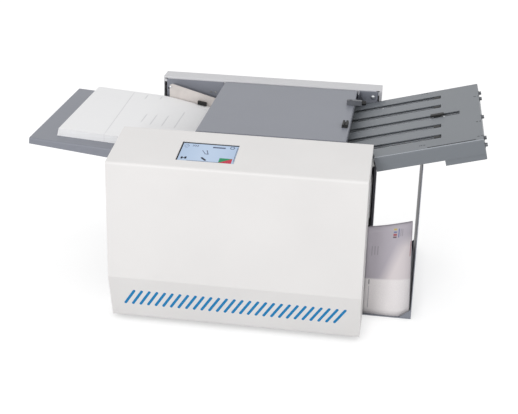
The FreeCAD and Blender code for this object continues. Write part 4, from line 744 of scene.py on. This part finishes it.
def plate_details():
    """Rivet marks, painted shade along the slit, worn paint with a painted highlight along the
    bend, the closed underside and an end pad."""
    dark = ink_and_painted_light("plate rivet marks and slit shade", linear(52, 55, 62), 0.5)
    worn_and_highlight = ink_and_painted_light("worn edge", linear(196, 201, 208), 0.4)

    def marks(shape):
        for u, y in RIVET_PAIRS:
            for side in (-1, 1):
                plate(shape, disc((u + side * RIVET_SPREAD, y), RIVET_RADIUS), on_plate)
        # The dark strip over the slit is painted shade inside it. The discs above are rivet marks.
        plate(shape, rectangle(*SLIT), on_plate)

    # Worn paint and a painted highlight: a pale strip along the bend of the plate's front edge.
    def bend_line(shape):
        def placed(u, across, rise):
            slant = math.sqrt(0.5)
            y = PLATE_Y[0] + BEND_DEPTH - (across + rise) * slant
            return on_plate(u, y, -BEND_DEPTH + (rise - across) * slant)
        plate(shape, rectangle(PLATE_U, (-BEND_HALF, BEND_HALF)), placed)

    def underside(shape):
        y = (PLATE_Y[0] + PLATE_MARGIN, PLATE_Y[1] - PLATE_MARGIN)
        left = PLATE_U[0] + PAN_GAP
        right = END_BOX_START - PAN_GAP
        corners = [
            (NECK_START, NECK_Y[0]), (left, NECK_Y[0]), (left, y[0]), (right, y[0]),
            (right, y[1]), (left, y[1]), (left, NECK_Y[1]), (NECK_START, NECK_Y[1]),
        ]

        def placed(u, v, rise):
            return on_plate(u, v, rise - PAN_DEPTH)
        plate(shape, corners, placed, PAN_SHEET)

    def inner_lip(shape):
        def placed(v, w, rise):
            return on_plate(NECK_START + rise, v, w)

        low = PAN_GAP - PAN_DEPTH
        starts = [NECK_Y[0]] + [gap[1] for gap in ROD_GAPS]
        ends = [gap[0] for gap in ROD_GAPS] + [NECK_Y[1]]
        for y in zip(starts, ends):
            corners = chamfered(y, (low, LIP_TOP), CORNER_CUT)
            plate(shape, corners, placed, PAN_SHEET)

    def end_pad(shape):
        y = (PLATE_Y[0] + END_PAD_Y[0], PLATE_Y[0] + END_PAD_Y[1])

        def placed(v, w, rise):
            return on_plate(PLATE_U[1] + rise, v, w)
        plate(shape, chamfered(y, END_PAD_W, CORNER_CUT), placed, END_PAD_THICK)

    add_piece("plate_marks", marks, dark, "fold_plate")
    add_piece("plate_bend_line", bend_line, worn_and_highlight, "fold_plate")
    add_piece("plate_underside", underside, ZINC, "fold_plate")
    add_piece("plate_inner_lip", inner_lip, PLATE_GREY, "fold_plate")
    add_piece("plate_end_pad", end_pad, BLACK, "fold_plate")


# Small pieces on the body

def screw_head(shape, centre, radius):
    """A domed head that faces the front."""
    steps = 16
    rings = []
    for share, height in SCREW_PROFILE:
        ring = []
        for step in range(steps):
            angle = 2 * math.pi * step / steps
            ring.append(shape.verts.new((
                centre[0] + radius * share * math.cos(angle),
                centre[1] - radius * height,
                centre[2] + radius * share * math.sin(angle),
            )))
        rings.append(ring)
    for low, high in zip(rings, rings[1:]):
        for step in range(steps):
            after = (step + 1) % steps
            shape.faces.new([low[step], low[after], high[after], high[step]])
    shape.faces.new(rings[-1])
    shape.faces.new(list(reversed(rings[0])))


def body_details():
    """The rear cover's edge and painted shade at its top corners, the exit block, a gusset in
    painted shade and screw heads.
    """
    bright = brushed_metal("bright screw", linear(225, 227, 230), 0.3, "Y")
    # A darker copy of the bracket's grey: painted shade on the gusset's face.
    shadow_grey = powder_coat("gusset grey with painted shade", linear(88, 90, 98), 0.45, 1200.0, 0.00006)
    mark_look = ink_and_painted_light("corner painted shade", linear(24, 24, 27), 0.6)

    def on_rear_cover(x, z, rise):
        return Vector((x, REAR_COVER_FRONT - rise, z))

    def on_end_panel(y, z, rise):
        return Vector((END_PANEL_RIGHT + rise, y, z))

    def on_bracket(x, z, rise):
        return Vector((x, GUSSET_Y - rise, z))

    def rear_edge(shape):
        plate(shape, rectangle(*REAR_EDGE), on_rear_cover)

    # Painted shade: small black plates on the rear cover's front lip at its top corners.
    def corner_shade_plates(shape):
        for x, z in REAR_CORNERS:
            plate(shape, rectangle(x, z), on_rear_cover)

    def exit_block(shape):
        corners = chamfered(EXIT_BLOCK[0], EXIT_BLOCK[1], EXIT_BLOCK_CUT)
        plate(shape, corners, on_end_panel, EXIT_BLOCK_DEPTH)

    def gusset(shape):
        plate(shape, GUSSET, on_bracket, GUSSET_SHEET)

    add_piece("rear_cover_edge", rear_edge, EDGE_GREY)
    add_piece("cover_corner_shade", corner_shade_plates, mark_look)
    add_piece("exit_block", exit_block, BLACK)
    add_piece("bracket_gusset", gusset, shadow_grey)
    add_piece(
        "bracket_screw",
        lambda shape: screw_head(shape, BRACKET_SCREW, BRACKET_SCREW_RADIUS),
        bright,
    )
    add_piece(
        "guide_screw",
        lambda shape: screw_head(shape, GUIDE_SCREW, GUIDE_SCREW_RADIUS),
        bright,
        "rear_guide",
    )


# Folded sheets

def smooth_between(points, share):
    """A point on the smooth curve through four points, share from 0 to 1."""
    spans = len(points) - 1
    place = min(share * spans, spans - 1e-9)
    index = int(place)
    t = place - index
    before = points[max(index - 1, 0)]
    beyond = points[min(index + 2, spans)]
    ends = [before, points[index], points[index + 1], beyond]
    weights = (
        (-t + 2 * t ** 2 - t ** 3) / 2,
        (2 - 5 * t ** 2 + 3 * t ** 3) / 2,
        (t + 4 * t ** 2 - 3 * t ** 3) / 2,
        (t ** 3 - t ** 2) / 2,
    )
    return tuple(sum(w * end[axis] for w, end in zip(weights, ends)) for axis in (0, 1))


def folded_stack():
    """Folded sheets that stand one behind the other, bowed along their length."""
    across, upward = FOLDED_GRID

    def corner(share, height, back, trim):
        low = smooth_between(FOLDED_LOW, share)
        high = smooth_between(FOLDED_HIGH, share)
        x = low[0] + (high[0] - low[0]) * height
        y = low[1] + (high[1] - low[1]) * height
        top = FOLDED_TOP_Z[0] + (FOLDED_TOP_Z[1] - FOLDED_TOP_Z[0]) * share - trim
        z = FOLDED_BOTTOM_Z + (top - FOLDED_BOTTOM_Z) * height
        return Vector((x, y + back, z))

    def sheet(shape, index):
        trim = TRIM_SIZE * (1 + math.sin(TRIM_STEP * index)) if index else 0.0
        reach = 1 - REACH_LOSS * (1 + math.sin(REACH_STEP * index + 1)) if index else 1.0
        near = FOLDED_PITCH * index
        grids = []
        for back in (near, near + FOLDED_SHEET):
            grids.append([
                [shape.verts.new(corner(reach * i / across, j / upward, back, trim))
                 for j in range(upward + 1)]
                for i in range(across + 1)
            ])
        front, rear = grids
        for i in range(across):
            for j in range(upward):
                near_face = [front[i][j], front[i + 1][j], front[i + 1][j + 1], front[i][j + 1]]
                far_face = [rear[i][j], rear[i][j + 1], rear[i + 1][j + 1], rear[i + 1][j]]
                shape.faces.new(near_face)
                shape.faces.new(far_face)
            for j in (0, upward):
                rim = [front[i][j], rear[i][j], rear[i + 1][j], front[i + 1][j]]
                shape.faces.new(rim if j == 0 else list(reversed(rim)))
        for j in range(upward):
            for i in (0, across):
                rim = [front[i][j], front[i][j + 1], rear[i][j + 1], rear[i][j]]
                shape.faces.new(rim if i == 0 else list(reversed(rim)))

    def make(shape):
        for index in range(FOLDED_COUNT):
            sheet(shape, index)
        for face in shape.faces:
            face.smooth = True

    piece = add_piece("folded_stack", make, FOLDED, "catcher")
    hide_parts("folded_sheets")


# Stage

def camera():
    data = bpy.data.cameras.new("camera")
    data.sensor_width = SENSOR
    data.lens = FOCAL_PIXELS * SENSOR / IMAGE_WIDTH
    data.shift_x = 0.0
    data.shift_y = (OPTICAL_ROW - IMAGE_HEIGHT / 2) / IMAGE_WIDTH
    data.clip_end = 50.0
    forward = Vector((
        -math.sin(CAMERA_YAW) * math.cos(CAMERA_PITCH),
        math.cos(CAMERA_YAW) * math.cos(CAMERA_PITCH),
        -math.sin(CAMERA_PITCH),
    ))
    right = Vector((math.cos(CAMERA_YAW), math.sin(CAMERA_YAW), 0))
    up = right.cross(forward)
    rolled_right = right * math.cos(CAMERA_ROLL) + up * math.sin(CAMERA_ROLL)
    rolled_up = up * math.cos(CAMERA_ROLL) - right * math.sin(CAMERA_ROLL)
    turn = Matrix((rolled_right, rolled_up, -forward)).transposed()
    eye = bpy.data.objects.new("camera", data)
    eye.matrix_world = Matrix.Translation(CAMERA_PLACE) @ turn.to_4x4()
    bpy.context.scene.collection.objects.link(eye)
    bpy.context.scene.camera = eye


def lamp(name, place, target, size, power):
    data = bpy.data.lights.new(name, "AREA")
    data.shape = "RECTANGLE"
    data.size = size[0]
    data.size_y = size[1]
    data.energy = power
    light = bpy.data.objects.new(name, data)
    light.location = place
    aim = Vector(target) - Vector(place)
    light.rotation_euler = aim.to_track_quat("-Z", "Y").to_euler()
    bpy.context.scene.collection.objects.link(light)


def lights():
    """A low key light in front, a little to the left, and a weak fill over the front."""
    lamp("front softbox", *FRONT_LAMP)
    lamp("top softbox", *TOP_LAMP)


def seen_directly(nodes, links):
    """1 where the camera, a mirror reflection or a clear surface looks, else 0."""
    path = nodes.new("ShaderNodeLightPath")
    total = path.outputs["Is Camera Ray"]
    for name in ("Is Glossy Ray", "Is Transmission Ray"):
        larger = nodes.new("ShaderNodeMath")
        larger.operation = "MAXIMUM"
        links.new(total, larger.inputs[0])
        links.new(path.outputs[name], larger.inputs[1])
        total = larger.outputs["Value"]
    return total


def world(strength):
    sky = bpy.data.worlds.new("studio")
    sky.use_nodes = True
    bpy.context.scene.world = sky
    nodes = sky.node_tree.nodes
    links = sky.node_tree.links
    lit = nodes["Background"]
    lit.inputs["Color"].default_value = (1.0, 1.0, 1.0, 1.0)
    lit.inputs["Strength"].default_value = strength
    shown = nodes.new("ShaderNodeBackground")
    shown.inputs["Color"].default_value = (1.0, 1.0, 1.0, 1.0)
    shown.inputs["Strength"].default_value = 1.0
    mix = nodes.new("ShaderNodeMixShader")
    links.new(seen_directly(nodes, links), mix.inputs["Fac"])
    links.new(lit.outputs["Background"], mix.inputs[1])
    links.new(shown.outputs["Background"], mix.inputs[2])
    links.new(mix.outputs["Shader"], nodes["World Output"].inputs["Surface"])


def floor():
    """A floor nearly white to the camera, with a painted contact shadow close to what stands on
    it.
    """
    bpy.ops.mesh.primitive_plane_add(size=FLOOR_SIZE, location=(0, 0, FLOOR_Z))
    ground = bpy.context.object
    ground.name = "floor"
    look = Look("floor", 0.9)
    look.paint(look.colours(look.noise(3.0), linear(201, 201, 201), linear(207, 207, 207)))
    # Painted contact shadow: the floor's glow to the camera dims where something stands close over
    # it.
    contact_shadow = look.nodes.new("ShaderNodeAmbientOcclusion")
    contact_shadow.samples = 8
    contact_shadow.inputs["Distance"].default_value = CONTACT_SHADOW_REACH
    glow = look.nodes.new("ShaderNodeEmission")
    glow.inputs["Color"].default_value = (1.0, 1.0, 1.0, 1.0)
    strength = look.maths("ADD", contact_shadow.outputs["AO"], FLOOR_GLOW)
    look.links.new(strength, glow.inputs["Strength"])
    mix = look.nodes.new("ShaderNodeMixShader")
    share = look.maths("MULTIPLY", seen_directly(look.nodes, look.links), GLOW_SHARE)
    look.links.new(share, mix.inputs["Fac"])
    look.links.new(look.shader.outputs["BSDF"], mix.inputs[1])
    look.links.new(glow.outputs["Emission"], mix.inputs[2])
    look.links.new(mix.outputs["Shader"], look.nodes["Material Output"].inputs["Surface"])
    ground.data.materials.append(look.material)


bpy.context.scene.view_settings.view_transform = "Standard"
camera()
dress_nodes()
stripes()
screen_picture()
plate_details()
body_details()
folded_stack()
lights()
world(WORLD_STRENGTH)
floor()
